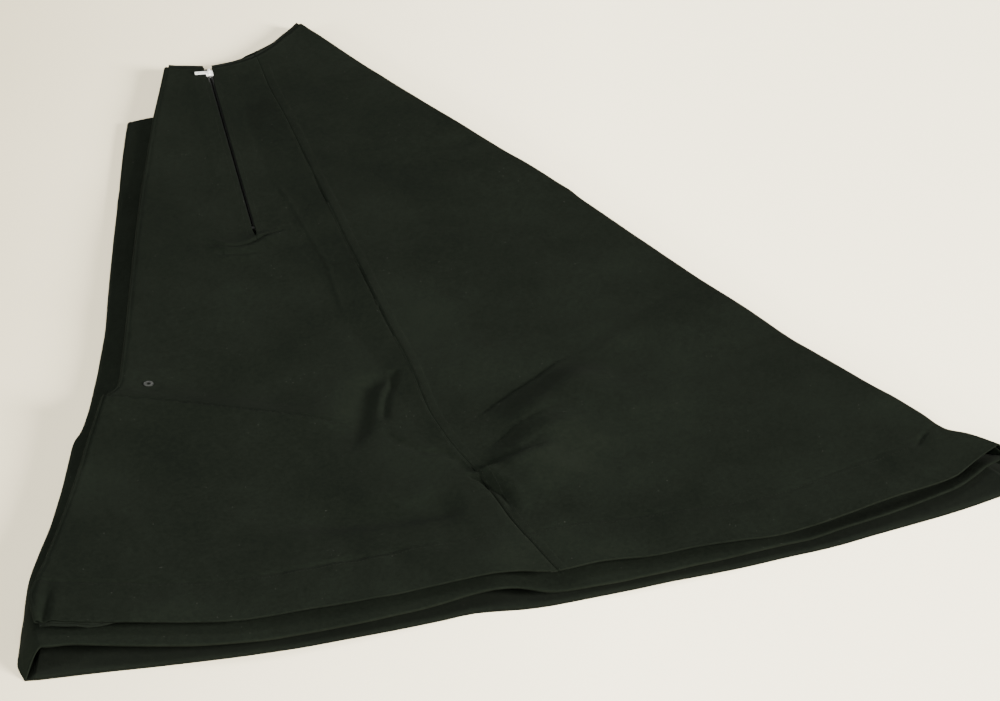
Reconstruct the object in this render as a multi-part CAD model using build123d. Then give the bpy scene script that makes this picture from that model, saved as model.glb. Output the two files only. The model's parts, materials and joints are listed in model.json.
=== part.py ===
"""Film changing bag: a conical, open-ended, light-tight cloth bag of four gores, laid flat
and then folded in half lengthwise, resting on a table.

Millimetres, +Z up. Plan positions are polar: r is the distance from the cone's apex, a the
angle in degrees from the centre fold line towards -X. The centre fold runs along -Y, with the
neck at the +Y end and the wide mouth at the -Y end. Four leaves lie on each other, from the
table up: lower back, lower front, upper back and upper front (the top leaf). At the end all
is moved so that the origin is the bottom centre of the bounding box.
"""
from build123d import *
import math
import os

# ---- cloth and tapes ----------------------------------------------------------------------
CLOTH_T = 0.80            # outer cloth
LINING_T = 0.60
PLY_GAP = 0.05            # air between the two plies of one leaf
LEAF_T = CLOTH_T + PLY_GAP + LINING_T
REST_GAP = 0.05           # air between a leaf and the tape lying on or under it
LINING_INSET = 3.0        # lining edge behind the cloth edge, at neck and hem
BINDING_T = 0.40          # seam and neck binding
SEAM_BIND_W = 12.0
SEAM_BIND_INSET = 46.0    # seam binding's ends from neck and hem, inside the bag
TOP_SEAM_BIND_INSET = 2.0
NECK_BIND_W = 6.0
TOP_NECK_BIND_INSET = 0.6
FACING_T = 0.60           # hem and zip facings
HEM_W = 38.0              # depth of the hem facing
TAPE_INSET = 3.5          # hem facings and inside neck bindings, from the cloth edge

# ---- angles and places across the bag -----------------------------------------------------
SEAM_A = 20.2             # seam in the middle of every leaf
SEAM_GAP_A = 0.03         # side panel starts, and centre panel ends, this far from the seam
UPPER_FOLD_A = 36.8       # where the upper side fold begins
LOWER_FOLD_A = 37.5       # where the lower side fold begins
NECK_FOLD_R = 225.5       # neck edge at the centre fold
TOP_FOLD_X = -7.8         # the top leaf's centre panel stops here, short of the fold line

# ---- heights ------------------------------------------------------------------------------
START_S = 226.0           # distance along -Y at which the planes' base heights hold
RISE_TO_MOUTH = 0.0047    # slope along -Y
RISE_TO_SIDE = 0.0126     # slope along -X
TOP_EXTRA_RISE = 0.003    # extra slope of the top leaf along -Y
LOWER_FRONT_BASE = 3.2
MID_GAP = 0.8             # between the lower half and the upper half
MOUTH_GAP = 3.0           # between the two leaves of the upper half, at the neck

# ---- outlines -----------------------------------------------------------------------------
# Edges as (a, r), from the side fold to the centre fold.
NECK_UPPER = [
    (37.07, 285), (32.9, 287), (28.2, 290), (23.5, 284), (20.2, 279.5),
    (18.0, 276), (14.4, 264), (9.1, 245), (4.0, 231), (0.0, NECK_FOLD_R),
]
HEM_UPPER = [
    (39.2, 1282), (38.5, 1284), (37.1, 1285), (34.5, 1286), (31.5, 1280),
    (28.5, 1273), (25.8, 1268), (23.8, 1257), (21.7, 1248), (20.2, 1251),
    (18.3, 1260), (17.0, 1262), (13.9, 1270), (10.5, 1271), (7.6, 1277),
    (5.2, 1275), (3.0, 1273), (1.5, 1266), (0.0, 1258),
]
HEM_LOWER_FRONT = [
    (39.3, 1304), (38.5, 1293), (37.0, 1295), (33.4, 1299), (29.7, 1287),
    (25.8, 1268), (24.1, 1255), (21.8, 1245), (20.2, 1257), (19.0, 1266),
    (17.9, 1263), (15.8, 1261), (13.7, 1260), (10.4, 1268), (8.0, 1278),
    (4.0, 1280), (0.0, 1278),
]
HEM_LOWER_BACK = [
    (39.6, 1326), (38.4, 1321), (36.3, 1312), (33.4, 1299), (29.7, 1286),
    (25.8, 1271), (22.6, 1260), (20.2, 1262), (17.8, 1260), (13.7, 1260),
    (9.4, 1265), (5.9, 1270), (3.3, 1277), (0.6, 1285), (0.0, 1286),
]
# Side folds' outer edges as (r, a), from neck to hem.
SIDE_UPPER = [
    (285, 37.07), (342, 37.5), (392, 37.9), (531, 38.1), (664, 37.9),
    (793, 37.65), (889, 37.6), (915, 38.45), (983, 38.8), (1050, 39.0),
    (1116, 39.3), (1180, 39.4), (1231, 39.6), (1250, 39.75), (1282, 39.2),
]
SIDE_LOWER = [
    (382, 41.7), (539, 40.4), (626, 39.8), (773, 39.1), (852, 39.1),
    (911, 39.2), (960, 39.4), (1047, 39.7), (1111, 39.9), (1158, 40.1),
    (1203, 40.2), (1241, 40.1), (1308, 40.2),
]

# ---- centre fold wraps --------------------------------------------------------------------
WRAP_LEAF_X = -7.0        # where a wrap leaves its leaf
WRAP_FLAT_X = -3.2        # end of its nearly flat part
WRAP_TURN_X = -1.2        # middle of its turn
WRAP_FOLD_X = -0.4        # its face nearest the fold line
WRAP_AXIS_GAP = 0.35      # it stops this far from the level of the fold axis
WRAP_NECK_R = 229.0
LOWER_WRAP_HEM_R = 1284.0
UPPER_WRAP_HEM_R = 1254.0

# ---- zip: slit from the neck down the top leaf's side panel --------------------------------
ZIP_TOP = (289.0, 28.65)      # (r, a) where the slit meets the neck edge
ZIP_END = (632.0, 27.7)       # (r, a) of the slit's closed end
SLOT_HALF = 3.9
CUT_START = -20.0             # zip cutters start this far along, beyond the neck edge
TAPE_IN, TAPE_OUT, TAPE_T = 2.45, 13.0, 0.5     # inner and outer edge from the zip line
TAPE_START = 6.0
TAPE_LIFT = 0.06              # tape's underside above the lining's underside
ZIP_MID_H = TAPE_LIFT + TAPE_T / 2              # mid-height of tape, teeth and slider
TOOTH_IN, TOOTH_OUT, TOOTH_H = 0.60, 2.30, 1.6
TOOTH_PITCH, TOOTH_LEN = 2.0, 1.1
SPINE_W = 0.7                 # strip that joins the teeth
TEETH_START, TEETH_LEN = 17.0, 300.0
SLIDER_START, SLIDER_L, SLIDER_W = 6.5, 9.0, 6.8
SLIDER_WALL = 0.7
BAR_R, BAR_L = 0.60, 6.0      # round bar on top of the slider
KNUCKLE_IN, KNUCKLE_OUT, KNUCKLE_L = 0.75, 1.45, 3.8
TAB_L, TAB_W, TAB_T = 14.0, 4.6, 0.8

# ---- eyelet in the top leaf -----------------------------------------------------------------
EYELET = (889.0, 35.9)        # (r, a)
EYELET_BORE_R, EYELET_TUBE_R, EYELET_FLANGE_R = 2.0, 2.5, 4.4
EYELET_LEN = 3.05
EYELET_FLANGE_T, EYELET_LIP_T, WASHER_T = 0.6, 0.3, 0.4
EYELET_LEAF_GAP = 0.12        # flange and washer clear of the leaf
EYELET_HOLE_R = EYELET_TUBE_R + 0.15


# ---- plan helpers ---------------------------------------------------------------------------
def plan(r, a):
    t = math.radians(a)
    return (-r * math.sin(t), -r * math.cos(t))


def table_at(table, key):
    """Value at a key, interpolated along the table and held beyond its ends."""
    pts = sorted(table)
    if key <= pts[0][0]:
        return pts[0][1]
    for (k0, v0), (k1, v1) in zip(pts, pts[1:]):
        if key <= k1:
            return v0 + (v1 - v0) * (key - k0) / (k1 - k0)
    return pts[-1][1]


def edge_points(table, a0, a1, dr=0.0):
    """Points of an edge from angle a0 to a1, moved by dr in radius."""
    low, high = min(a0, a1), max(a0, a1)
    inner = sorted(a for a, r in table if low + 0.15 < a < high - 0.15)
    pts = [plan(table_at(table, a) + dr, a) for a in [low] + inner + [high]]
    return pts if a0 < a1 else pts[::-1]


def lower_neck_r(a):
    """The lower half's neck edge: a straight cut from its side corner to the centre fold."""
    x0, y0 = plan(*SIDE_LOWER[0])
    x1, y1 = plan(NECK_FOLD_R, 0.0)
    ray_x, ray_y = plan(1.0, a)
    cut_x, cut_y = x1 - x0, y1 - y0
    return (x0 * cut_y - y0 * cut_x) / (ray_x * cut_y - ray_y * cut_x)


NECK_LOWER = [(a, lower_neck_r(a)) for a in (41.7, 37.5, 30.0, 20.2, 10.0, 0.0)]


def clip_x(points, limit):
    """Hold the points on the -X side of a limit."""
    return [(min(x, limit), y) for x, y in points]


# ---- height planes --------------------------------------------------------------------------
class HeightPlane:
    """A sloping plane: z = base + to_mouth * (-y - START_S) + to_side * (-x)."""

    def __init__(self, base, to_mouth, to_side):
        self.base, self.to_mouth, self.to_side = base, to_mouth, to_side

    def z(self, x, y):
        return self.base + self.to_mouth * (-y - START_S) + self.to_side * (-x)

    def up(self, dz):
        return HeightPlane(self.base + dz, self.to_mouth, self.to_side)


# Underside of each leaf.
LOWER_BACK = HeightPlane(0.0, 0.0, 0.0)
LOWER_FRONT = HeightPlane(LOWER_FRONT_BASE, RISE_TO_MOUTH, RISE_TO_SIDE)
UPPER_BACK = LOWER_FRONT.up(LEAF_T + MID_GAP)
TOP_LEAF = HeightPlane(
    UPPER_BACK.base + LEAF_T + MOUTH_GAP, RISE_TO_MOUTH + TOP_EXTRA_RISE, RISE_TO_SIDE
)


def above(plane):
    """Plane for a tape resting on a leaf."""
    return plane.up(LEAF_T + REST_GAP)


def below(plane, thickness):
    """Plane for a tape lying just under a leaf."""
    return plane.up(-REST_GAP - thickness)


def axis_z(y):
    """Level of the centre fold's axis, midway between the two halves."""
    return LOWER_FRONT.z(0, y) + LEAF_T + MID_GAP / 2


# ---- solid helpers --------------------------------------------------------------------------
def sheet(points, plane, thickness):
    """A flat sheet with this plan outline, its underside on the plane."""
    pts = []
    for x, y in points:
        if not pts or math.hypot(x - pts[-1][0], y - pts[-1][1]) > 0.05:
            pts.append((x, y))
    wire = Wire.make_polygon([Vector(x, y, plane.z(x, y)) for x, y in pts], close=True)
    return Solid.extrude(Face(wire), Vector(0, 0, thickness))


def through(points):
    """An upright cutter through every leaf."""
    return sheet(points, LOWER_BACK.up(-5), 65)


def unwrap(shape):
    """The bare solid, where a shape holds only one."""
    return shape.solids()[0] if len(shape.solids()) == 1 else shape


def cut(solid, *tools):
    for tool in tools:
        solid = unwrap(solid - tool)
    return solid


def polyhedron(rings):
    """Closed solid of flat triangles through rings of points, all of one length.

    In each ring the first half is the outer line and the second the inner, reversed.
    """
    faces = []

    def triangle(p, q, r):
        if (q - p).cross(r - p).length > 1e-9:
            faces.append(Face(Wire.make_polygon([p, q, r], close=True)))

    rings = [[Vector(*p) for p in ring] for ring in rings]
    n = len(rings[0])
    for ring, following in zip(rings, rings[1:]):
        for i in range(n):
            j = (i + 1) % n
            triangle(ring[i], ring[j], following[j])
            triangle(ring[i], following[j], following[i])
    for ring, flip in ((rings[0], True), (rings[-1], False)):
        for i in range(n // 2 - 1):
            p, q, r, s = ring[i], ring[i + 1], ring[n - 2 - i], ring[n - 1 - i]
            if flip:
                triangle(p, r, q)
                triangle(p, s, r)
            else:
                triangle(p, q, r)
                triangle(p, r, s)
    solid = Solid(Shell(faces))
    # The winding depends on which way the rings run, so an inside-out solid is turned.
    if solid.volume < 0:
        solid = Solid(Shell([-f for f in faces]))
    return solid


# ---- cloth pieces ---------------------------------------------------------------------------
def leaf(prefix, plane, neck, hem, side_a, cloth_up, fold_x, lining_back=0.3):
    """The side and centre panels of one leaf with their linings.

    The centre panel is held at fold_x, its lining lining_back further towards the side.
    """
    if cloth_up:
        lining_plane, cloth_plane = plane, plane.up(LINING_T + PLY_GAP)
    else:
        lining_plane, cloth_plane = plane.up(CLOTH_T + PLY_GAP), plane
    made = {}
    for part, a0, a1 in (("side", side_a, SEAM_A + SEAM_GAP_A),
                         ("centre", SEAM_A - SEAM_GAP_A, 0.0)):
        cloth, lining = (
            edge_points(neck, a0, a1, inset) + edge_points(hem, a1, a0, -inset)
            for inset in (0.0, LINING_INSET)
        )
        if part == "centre":
            cloth = clip_x(cloth, fold_x)
            lining = clip_x(lining, fold_x - lining_back)
        made[f"{prefix}_{part}_panel"] = sheet(cloth, cloth_plane, CLOTH_T)
        made[f"{prefix}_{part}_lining"] = sheet(lining, lining_plane, LINING_T)
    return made


def seam_binding(neck, hem, plane, inset=SEAM_BIND_INSET):
    """A straight tape along the seam line."""
    x0, y0 = plan(table_at(neck, SEAM_A) + inset, SEAM_A)
    x1, y1 = plan(table_at(hem, SEAM_A) - inset, SEAM_A)
    length = math.hypot(x1 - x0, y1 - y0)
    nx = -(y1 - y0) / length * SEAM_BIND_W / 2
    ny = (x1 - x0) / length * SEAM_BIND_W / 2
    corners = [(x0 + nx, y0 + ny), (x1 + nx, y1 + ny), (x1 - nx, y1 - ny), (x0 - nx, y0 - ny)]
    return sheet(corners, plane, BINDING_T)


def band(table, a0, a1, dr0, dr1, plane, thickness, fold_x):
    """A band following an edge, between two radius offsets."""
    pts = edge_points(table, a0, a1, dr0) + edge_points(table, a1, a0, dr1)
    if fold_x is not None:
        pts = clip_x(pts, fold_x)
    return sheet(pts, plane, thickness)


def hem_facing(hem, a0, a1, plane, fold_x=None):
    return band(hem, a0, a1, -TAPE_INSET, -TAPE_INSET - HEM_W, plane, FACING_T, fold_x)


def neck_binding(neck, a0, a1, inset, plane, fold_x=None):
    return band(neck, a0, a1, inset, inset + NECK_BIND_W, plane, BINDING_T, fold_x)


def inside_tapes(prefix, binding_plane, facing_plane, neck, hem, hem_span, neck_span):
    """Seam, hem and neck tapes on the lining; a span is (side a, centre a, fold x)."""
    hem_a0, hem_a1, hem_x = hem_span
    neck_a0, neck_a1, neck_x = neck_span
    return {
        f"{prefix}_seam_binding": seam_binding(neck, hem, binding_plane),
        f"{prefix}_hem_facing": hem_facing(hem, hem_a0, hem_a1, facing_plane, hem_x),
        f"{prefix}_neck_binding": neck_binding(
            neck, neck_a0, neck_a1, TAPE_INSET, binding_plane, neck_x),
    }


def side_fold(side, a_in, bottom, top):
    """The turned edge of a side gore: a flattened half tube from one leaf to the next.

    bottom is the plane of its underside, top the plane of its upper side.
    """
    t = CLOTH_T
    rings = []
    for r, a_out in side:
        x_in, y_in = plan(r, a_in)
        x_out, y_out = plan(r, a_out)
        width = math.hypot(x_out - x_in, y_out - y_in)
        dir_x, dir_y = (x_out - x_in) / width, (y_out - y_in) / width
        low_in, high_in = bottom.z(x_in, y_in), top.z(x_in, y_in)
        low, high = bottom.z(x_out, y_out), top.z(x_out, y_out)
        height = high - low
        corner = min(0.45 * width, 0.35 * height, 5.0)
        flat = width - corner              # where the corner begins
        low_flat = low_in + (low - low_in) * flat / width
        high_flat = high_in + (high - high_in) * flat / width
        section = [                        # (distance outwards, z)
            (0, high_in), (flat, high_flat), (width, high - 0.3 * height),
            (width, low + 0.3 * height), (flat, low_flat), (0, low_in),
            (0, low_in + t), (flat - 0.3, low_flat + t),
            (width - t, low + 0.3 * height + 0.3 * t),
            (width - t, high - 0.3 * height - 0.3 * t),
            (flat - 0.3, high_flat - t), (0, high_in - t),
        ]
        rings.append([(x_in + dir_x * d, y_in + dir_y * d, z) for d, z in section])
    return polyhedron(rings)


def centre_fold(hem_r, leaf_z, turn):
    """A quarter of the outer wrap at the centre fold, from a leaf to the fold axis's level.

    leaf_z gives the leaf's outer face at y; turn is 1 for a wrap that rises, -1 for one
    that descends.
    """
    t = CLOTH_T
    rings = []
    for y in (-WRAP_NECK_R, -hem_r):
        z_axis, z_leaf = axis_z(y) - WRAP_AXIS_GAP * turn, leaf_z(y)
        height = abs(z_axis - z_leaf)
        rings.append([
            (WRAP_LEAF_X, y, z_leaf),
            (WRAP_FLAT_X, y, z_leaf + turn * 0.06 * height),
            (WRAP_TURN_X, y, z_leaf + turn * 0.35 * height),
            (WRAP_FOLD_X, y, z_axis),
            (WRAP_FOLD_X - t, y, z_axis),
            (WRAP_TURN_X - t, y, z_leaf + turn * (0.35 * height + 0.25 * t)),
            (WRAP_FLAT_X - 0.2, y, z_leaf + turn * (0.06 * height + t)),
            (WRAP_LEAF_X, y, z_leaf + turn * t),
        ])
    return polyhedron(rings)


# ---- zip frame: u along the zip from neck to hem, v across it towards the side fold ----------
zip_x, zip_y = plan(*ZIP_TOP)
zip_end_x, zip_end_y = plan(*ZIP_END)
ZIP_LEN = math.hypot(zip_end_x - zip_x, zip_end_y - zip_y)
along_x, along_y = (zip_end_x - zip_x) / ZIP_LEN, (zip_end_y - zip_y) / ZIP_LEN
across_x, across_y = along_y, -along_x
TEETH_END = TEETH_START + TEETH_LEN


def zip_points(points):
    return [(zip_x + along_x * u + across_x * v, zip_y + along_y * u + across_y * v)
            for u, v in points]


def zip_rect(u0, u1, v0, v1):
    return zip_points([(u0, v0), (u1, v0), (u1, v1), (u0, v1)])


def zip_block(u0, u1, v0, v1, h0, h1):
    """A block between two heights above the top leaf's underside."""
    return sheet(zip_rect(u0, u1, v0, v1), TOP_LEAF.up(h0), h1 - h0)


def zip_cutter(u1, half_width):
    return through(zip_rect(CUT_START, u1, -half_width, half_width))


def zip_tape(side):
    rect = zip_rect(TAPE_START, ZIP_LEN + 8.0, side * TAPE_IN, side * TAPE_OUT)
    return sheet(rect, TOP_LEAF.up(TAPE_LIFT), TAPE_T)


def zip_teeth(side):
    """A comb of teeth; the two sides are half a pitch apart."""
    start = TEETH_START + (0.0 if side > 0 else TOOTH_PITCH / 2)
    end = start + TEETH_LEN
    root, tip, back = side * (TOOTH_OUT - SPINE_W), side * TOOTH_IN, side * TOOTH_OUT
    pts = [(start - 0.3, root)]
    for k in range(int(TEETH_LEN / TOOTH_PITCH)):
        u = start + k * TOOTH_PITCH
        pts += [(u, root), (u, tip), (u + TOOTH_LEN, tip), (u + TOOTH_LEN, root)]
    pts += [(end, root), (end, back), (start - 0.3, back)]
    return sheet(zip_points(pts), TOP_LEAF.up(ZIP_MID_H - TOOTH_H / 2), TOOTH_H)


def zip_top_stops():
    return Compound(children=[
        zip_block(TAPE_START - 4.5, TAPE_START - 1.0, side * 1.2, side * 3.0, -0.3, 1.2)
        for side in (1, -1)
    ])


def zip_bottom_stop():
    return zip_block(TEETH_END + 2.5, TEETH_END + 6.5, -2.2, 2.2, -0.5, 1.2)


def zip_facing():
    rect = zip_rect(8.0, ZIP_LEN + 14, -TAPE_OUT, TAPE_OUT)
    return cut(sheet(rect, below(TOP_LEAF, FACING_T), FACING_T), zip_cutter(ZIP_LEN - 2, 5.5))


# ---- slider and pull ------------------------------------------------------------------------
PLATE_TOP_LOW = ZIP_MID_H + TOOTH_H / 2 + 0.15
PLATE_TOP_HIGH = ZIP_MID_H + TOOTH_H / 2 + 0.95
PLATE_BOTTOM_HIGH = ZIP_MID_H - TOOTH_H / 2 - 0.15
PLATE_BOTTOM_LOW = ZIP_MID_H - TOOTH_H / 2 - 0.85
BAR_H = PLATE_TOP_HIGH + KNUCKLE_OUT + 0.35
SLIDER_MID = SLIDER_START + SLIDER_L / 2

(bar_x, bar_y), = zip_points([(SLIDER_MID, 0.0)])
slope = TOP_LEAF.z(zip_x + along_x, zip_y + along_y) - TOP_LEAF.z(zip_x, zip_y)
bar_mid = Vector(bar_x, bar_y, TOP_LEAF.z(bar_x, bar_y) + BAR_H)
bar_dir = Vector(along_x, along_y, slope).normalized()
across = Vector(across_x, across_y, 0.0)
bar_up = across.cross(bar_dir)


def bar_cylinder(radius, length):
    """A cylinder centred on the slider's bar."""
    start = bar_mid - bar_dir * (length / 2)
    return Solid.make_cylinder(radius, length, Plane(origin=start, x_dir=across, z_dir=bar_dir))


def tab_block(d0, d1, half_width, h0, h1):
    """A block reaching from d0 to d1 across the zip, between heights from the bar's axis."""
    corners = [bar_mid + bar_dir * (end * half_width) + across * d + bar_up * h0
               for end, d in ((-1, d0), (1, d0), (1, d1), (-1, d1))]
    return Solid.extrude(Face(Wire.make_polygon(corners, close=True)), bar_up * (h1 - h0))


def zip_slider():
    """Two plates joined by a post, side walls slotted for the tapes, and a bar on two lugs."""
    u0, u1 = SLIDER_START, SLIDER_START + SLIDER_L
    half = SLIDER_W / 2
    post_low, post_high = PLATE_BOTTOM_HIGH - 0.2, PLATE_TOP_LOW + 0.2
    shape = zip_block(u0, u1, -half, half, PLATE_TOP_LOW, PLATE_TOP_HIGH)
    shape = shape + zip_block(u0, u1, -half, half, PLATE_BOTTOM_LOW, PLATE_BOTTOM_HIGH)
    shape = shape + zip_block(u0 + 0.6, u0 + 3.4, -0.42, 0.42, post_low, post_high)
    for h0, h1 in ((ZIP_MID_H + 0.45, post_high), (post_low, ZIP_MID_H - 0.45)):
        for v0, v1 in ((half - SLIDER_WALL, half), (-half, -half + SLIDER_WALL)):
            shape = shape + zip_block(u0 + 0.8, u1, v0, v1, h0, h1)
    for lug in (-3.6, 2.6):
        lug_u = SLIDER_MID + lug
        shape = shape + zip_block(lug_u, lug_u + 1.0, -0.9, 0.9, PLATE_TOP_HIGH - 0.2, BAR_H + 0.8)
    return unwrap(shape + bar_cylinder(BAR_R, BAR_L))


def zip_pull_tab():
    """A knuckle round the bar and a flat tab, with a window, lying towards the side fold."""
    low = -KNUCKLE_OUT
    high = low + TAB_T
    pull = bar_cylinder(KNUCKLE_OUT, KNUCKLE_L)
    pull = pull + tab_block(0.0, 2.6, KNUCKLE_L / 2, low, high)
    pull = pull + tab_block(2.2, TAB_L, TAB_W / 2, low, high)
    pull = pull - bar_cylinder(KNUCKLE_IN, 12.0)
    return unwrap(pull - tab_block(9.4, 12.4, 1.1, low - 1, high + 1))


# ---- eyelet ---------------------------------------------------------------------------------
eyelet_x, eyelet_y = plan(*EYELET)


def eyelet_cylinder(radius, z, height):
    return Solid.make_cylinder(radius, height, Plane(origin=(eyelet_x, eyelet_y, z)))


def eyelet_hole(sides=12):
    turns = [2 * math.pi * k / sides for k in range(sides)]
    return through([(eyelet_x + EYELET_HOLE_R * math.cos(t), eyelet_y + EYELET_HOLE_R * math.sin(t))
                    for t in turns])


def eyelet_barrel():
    """Flange on the leaf, tube through it and a lip at the tube's lower end."""
    seat = TOP_LEAF.up(LEAF_T).z(eyelet_x, eyelet_y) + EYELET_LEAF_GAP
    foot = seat + EYELET_FLANGE_T - EYELET_LEN
    flange = eyelet_cylinder(EYELET_FLANGE_R, seat, EYELET_FLANGE_T)
    tube = eyelet_cylinder(EYELET_TUBE_R, foot, EYELET_LEN - 0.3)
    lip = eyelet_cylinder(EYELET_TUBE_R + 0.9, foot, EYELET_LIP_T)
    return unwrap(flange + tube + lip - eyelet_cylinder(EYELET_BORE_R, seat - 6, 12))


def eyelet_washer():
    top = TOP_LEAF.z(eyelet_x, eyelet_y) - EYELET_LEAF_GAP
    disc = eyelet_cylinder(EYELET_FLANGE_R, top - WASHER_T, WASHER_T)
    return unwrap(disc - eyelet_cylinder(EYELET_TUBE_R + 0.05, top - 1, 2))


# ---- the halves of the bag ------------------------------------------------------------------
def lower_half():
    side_a = LOWER_FOLD_A - 0.02
    tape_a = LOWER_FOLD_A - 0.1
    neck_span = (tape_a, 1.2, None)
    return {
        **leaf("lower_back", LOWER_BACK, NECK_LOWER, HEM_LOWER_BACK, side_a, False, -7.1),
        **leaf("lower_front", LOWER_FRONT, NECK_LOWER, HEM_LOWER_FRONT, side_a, True, -2.6),
        **inside_tapes("lower_back", above(LOWER_BACK), above(LOWER_BACK),
                       NECK_LOWER, HEM_LOWER_BACK, (tape_a, 0.6, -9.0), neck_span),
        **inside_tapes("lower_front", below(LOWER_FRONT, BINDING_T), below(LOWER_FRONT, FACING_T),
                       NECK_LOWER, HEM_LOWER_FRONT, (tape_a, 0.6, -4.0), neck_span),
        "lower_side_fold": side_fold(
            SIDE_LOWER, LOWER_FOLD_A, LOWER_BACK, LOWER_FRONT.up(LEAF_T)),
        "outer_centre_fold_lower": centre_fold(LOWER_WRAP_HEM_R, lambda y: 0.0, 1.0),
    }


def upper_back():
    """The upper half's lower leaf, with the side and centre folds of the upper half."""
    return {
        **leaf("upper_back", UPPER_BACK, NECK_UPPER, HEM_UPPER, UPPER_FOLD_A - 0.02, False, -2.6),
        **inside_tapes("upper_back", above(UPPER_BACK), above(UPPER_BACK), NECK_UPPER, HEM_UPPER,
                       (UPPER_FOLD_A - 0.1, 0.0, -5.0), (UPPER_FOLD_A - 0.3, 0.0, -5.0)),
        "upper_side_fold": side_fold(
            SIDE_UPPER, UPPER_FOLD_A, UPPER_BACK, TOP_LEAF.up(LEAF_T)),
        "outer_centre_fold_upper": centre_fold(
            UPPER_WRAP_HEM_R, lambda y: TOP_LEAF.z(WRAP_LEAF_X, y) + LEAF_T, -1.0),
    }


def upper_front():
    """The top leaf, its side panel slit for the zip and holed for the eyelet."""
    made = leaf("upper_front", TOP_LEAF, NECK_UPPER, HEM_UPPER,
                UPPER_FOLD_A - 0.18, True, TOP_FOLD_X, lining_back=0.2)
    for name, slit in (("upper_front_side_panel", zip_cutter(ZIP_LEN, SLOT_HALF)),
                       ("upper_front_side_lining", zip_cutter(ZIP_LEN + 12, TAPE_OUT + 1))):
        made[name] = cut(made[name], slit, eyelet_hole())

    on_top, under = above(TOP_LEAF), below(TOP_LEAF, FACING_T)
    made["upper_front_seam_binding"] = seam_binding(
        NECK_UPPER, HEM_UPPER, on_top, TOP_SEAM_BIND_INSET)
    made["upper_front_side_hem_facing"] = hem_facing(
        HEM_UPPER, UPPER_FOLD_A - 0.6, SEAM_A + 0.1, under)
    made["upper_front_centre_hem_facing"] = hem_facing(
        HEM_UPPER, SEAM_A - 0.1, 0.0, under, TOP_FOLD_X - 2.0)
    side_binding = neck_binding(
        NECK_UPPER, UPPER_FOLD_A - 0.8, SEAM_A + 1.6, TOP_NECK_BIND_INSET, on_top)
    made["upper_front_side_neck_binding"] = cut(side_binding, zip_cutter(40, SLOT_HALF + 0.3))
    made["upper_front_centre_neck_binding"] = neck_binding(
        NECK_UPPER, SEAM_A - 1.6, 0.0, TOP_NECK_BIND_INSET, on_top, TOP_FOLD_X - 1.0)
    return made


pieces = {
    **lower_half(),
    **upper_back(),
    **upper_front(),
    "zip_tape_left": zip_tape(1),
    "zip_tape_right": zip_tape(-1),
    "zip_teeth_left": zip_teeth(1),
    "zip_teeth_right": zip_teeth(-1),
    "zip_top_stops": zip_top_stops(),
    "zip_bottom_stop": zip_bottom_stop(),
    "zip_facing": zip_facing(),
    "zip_slider": zip_slider(),
    "zip_pull_tab": zip_pull_tab(),
    "eyelet_barrel": eyelet_barrel(),
    "eyelet_washer": eyelet_washer(),
}

# ---- place the origin and write one file per piece --------------------------------------------
boxes = [piece.bounding_box() for piece in pieces.values()]
shift = Location((
    -(min(b.min.X for b in boxes) + max(b.max.X for b in boxes)) / 2,
    -(min(b.min.Y for b in boxes) + max(b.max.Y for b in boxes)) / 2,
    -min(b.min.Z for b in boxes),
))

os.makedirs("parts", exist_ok=True)
for name, piece in pieces.items():
    export_step(piece.moved(shift), f"parts/{name}.step")
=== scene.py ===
"""Cone-shaped cloth bag with a short zip and an eyelet, folded flat into four stacked leaves.

It lies on a table with its narrow neck towards +Y, its wide hem towards -Y, the centre fold
along the +X side and the side folds towards -X. From the top down the leaves are: top leaf,
upper back leaf, lower front leaf, lower back leaf. Each top-leaf side panel and centre panel
meet at a seam. Outlines are polar about the cone's apex: radius in mm, and angle in degrees
from the centre fold line (-Y) towards the side folds (-X).
"""
import json
import math

import bpy
import numpy as np
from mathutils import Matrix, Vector


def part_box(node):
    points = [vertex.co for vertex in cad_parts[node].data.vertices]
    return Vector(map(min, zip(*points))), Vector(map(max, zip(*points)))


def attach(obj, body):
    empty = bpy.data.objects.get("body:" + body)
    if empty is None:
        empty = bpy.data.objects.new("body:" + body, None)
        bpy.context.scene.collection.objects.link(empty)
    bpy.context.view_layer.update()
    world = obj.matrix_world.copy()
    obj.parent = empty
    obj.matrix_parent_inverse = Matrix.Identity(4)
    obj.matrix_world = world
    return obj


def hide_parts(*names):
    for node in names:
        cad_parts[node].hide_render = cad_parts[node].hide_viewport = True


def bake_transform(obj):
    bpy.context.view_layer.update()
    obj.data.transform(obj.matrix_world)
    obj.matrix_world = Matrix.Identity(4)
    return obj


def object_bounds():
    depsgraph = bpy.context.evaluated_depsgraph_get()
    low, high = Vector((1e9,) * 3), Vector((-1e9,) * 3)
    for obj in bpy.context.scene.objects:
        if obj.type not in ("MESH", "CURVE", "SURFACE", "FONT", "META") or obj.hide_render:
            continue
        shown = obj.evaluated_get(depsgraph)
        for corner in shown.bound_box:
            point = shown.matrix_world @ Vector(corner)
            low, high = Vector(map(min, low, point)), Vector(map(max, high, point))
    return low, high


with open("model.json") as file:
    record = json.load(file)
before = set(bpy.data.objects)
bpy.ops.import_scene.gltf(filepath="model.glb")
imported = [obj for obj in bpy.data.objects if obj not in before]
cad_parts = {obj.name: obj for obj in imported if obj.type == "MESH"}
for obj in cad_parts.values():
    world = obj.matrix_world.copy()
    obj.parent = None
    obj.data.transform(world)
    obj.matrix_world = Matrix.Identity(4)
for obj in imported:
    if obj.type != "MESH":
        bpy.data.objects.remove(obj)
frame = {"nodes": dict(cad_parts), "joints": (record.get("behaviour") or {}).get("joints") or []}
CAD_LO, CAD_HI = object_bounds()
JOINTS = {joint["name"]: joint for joint in frame["joints"]}
MM = 0.001
DETAIL = 1.0
Z_TABLE = CAD_LO.z


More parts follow.
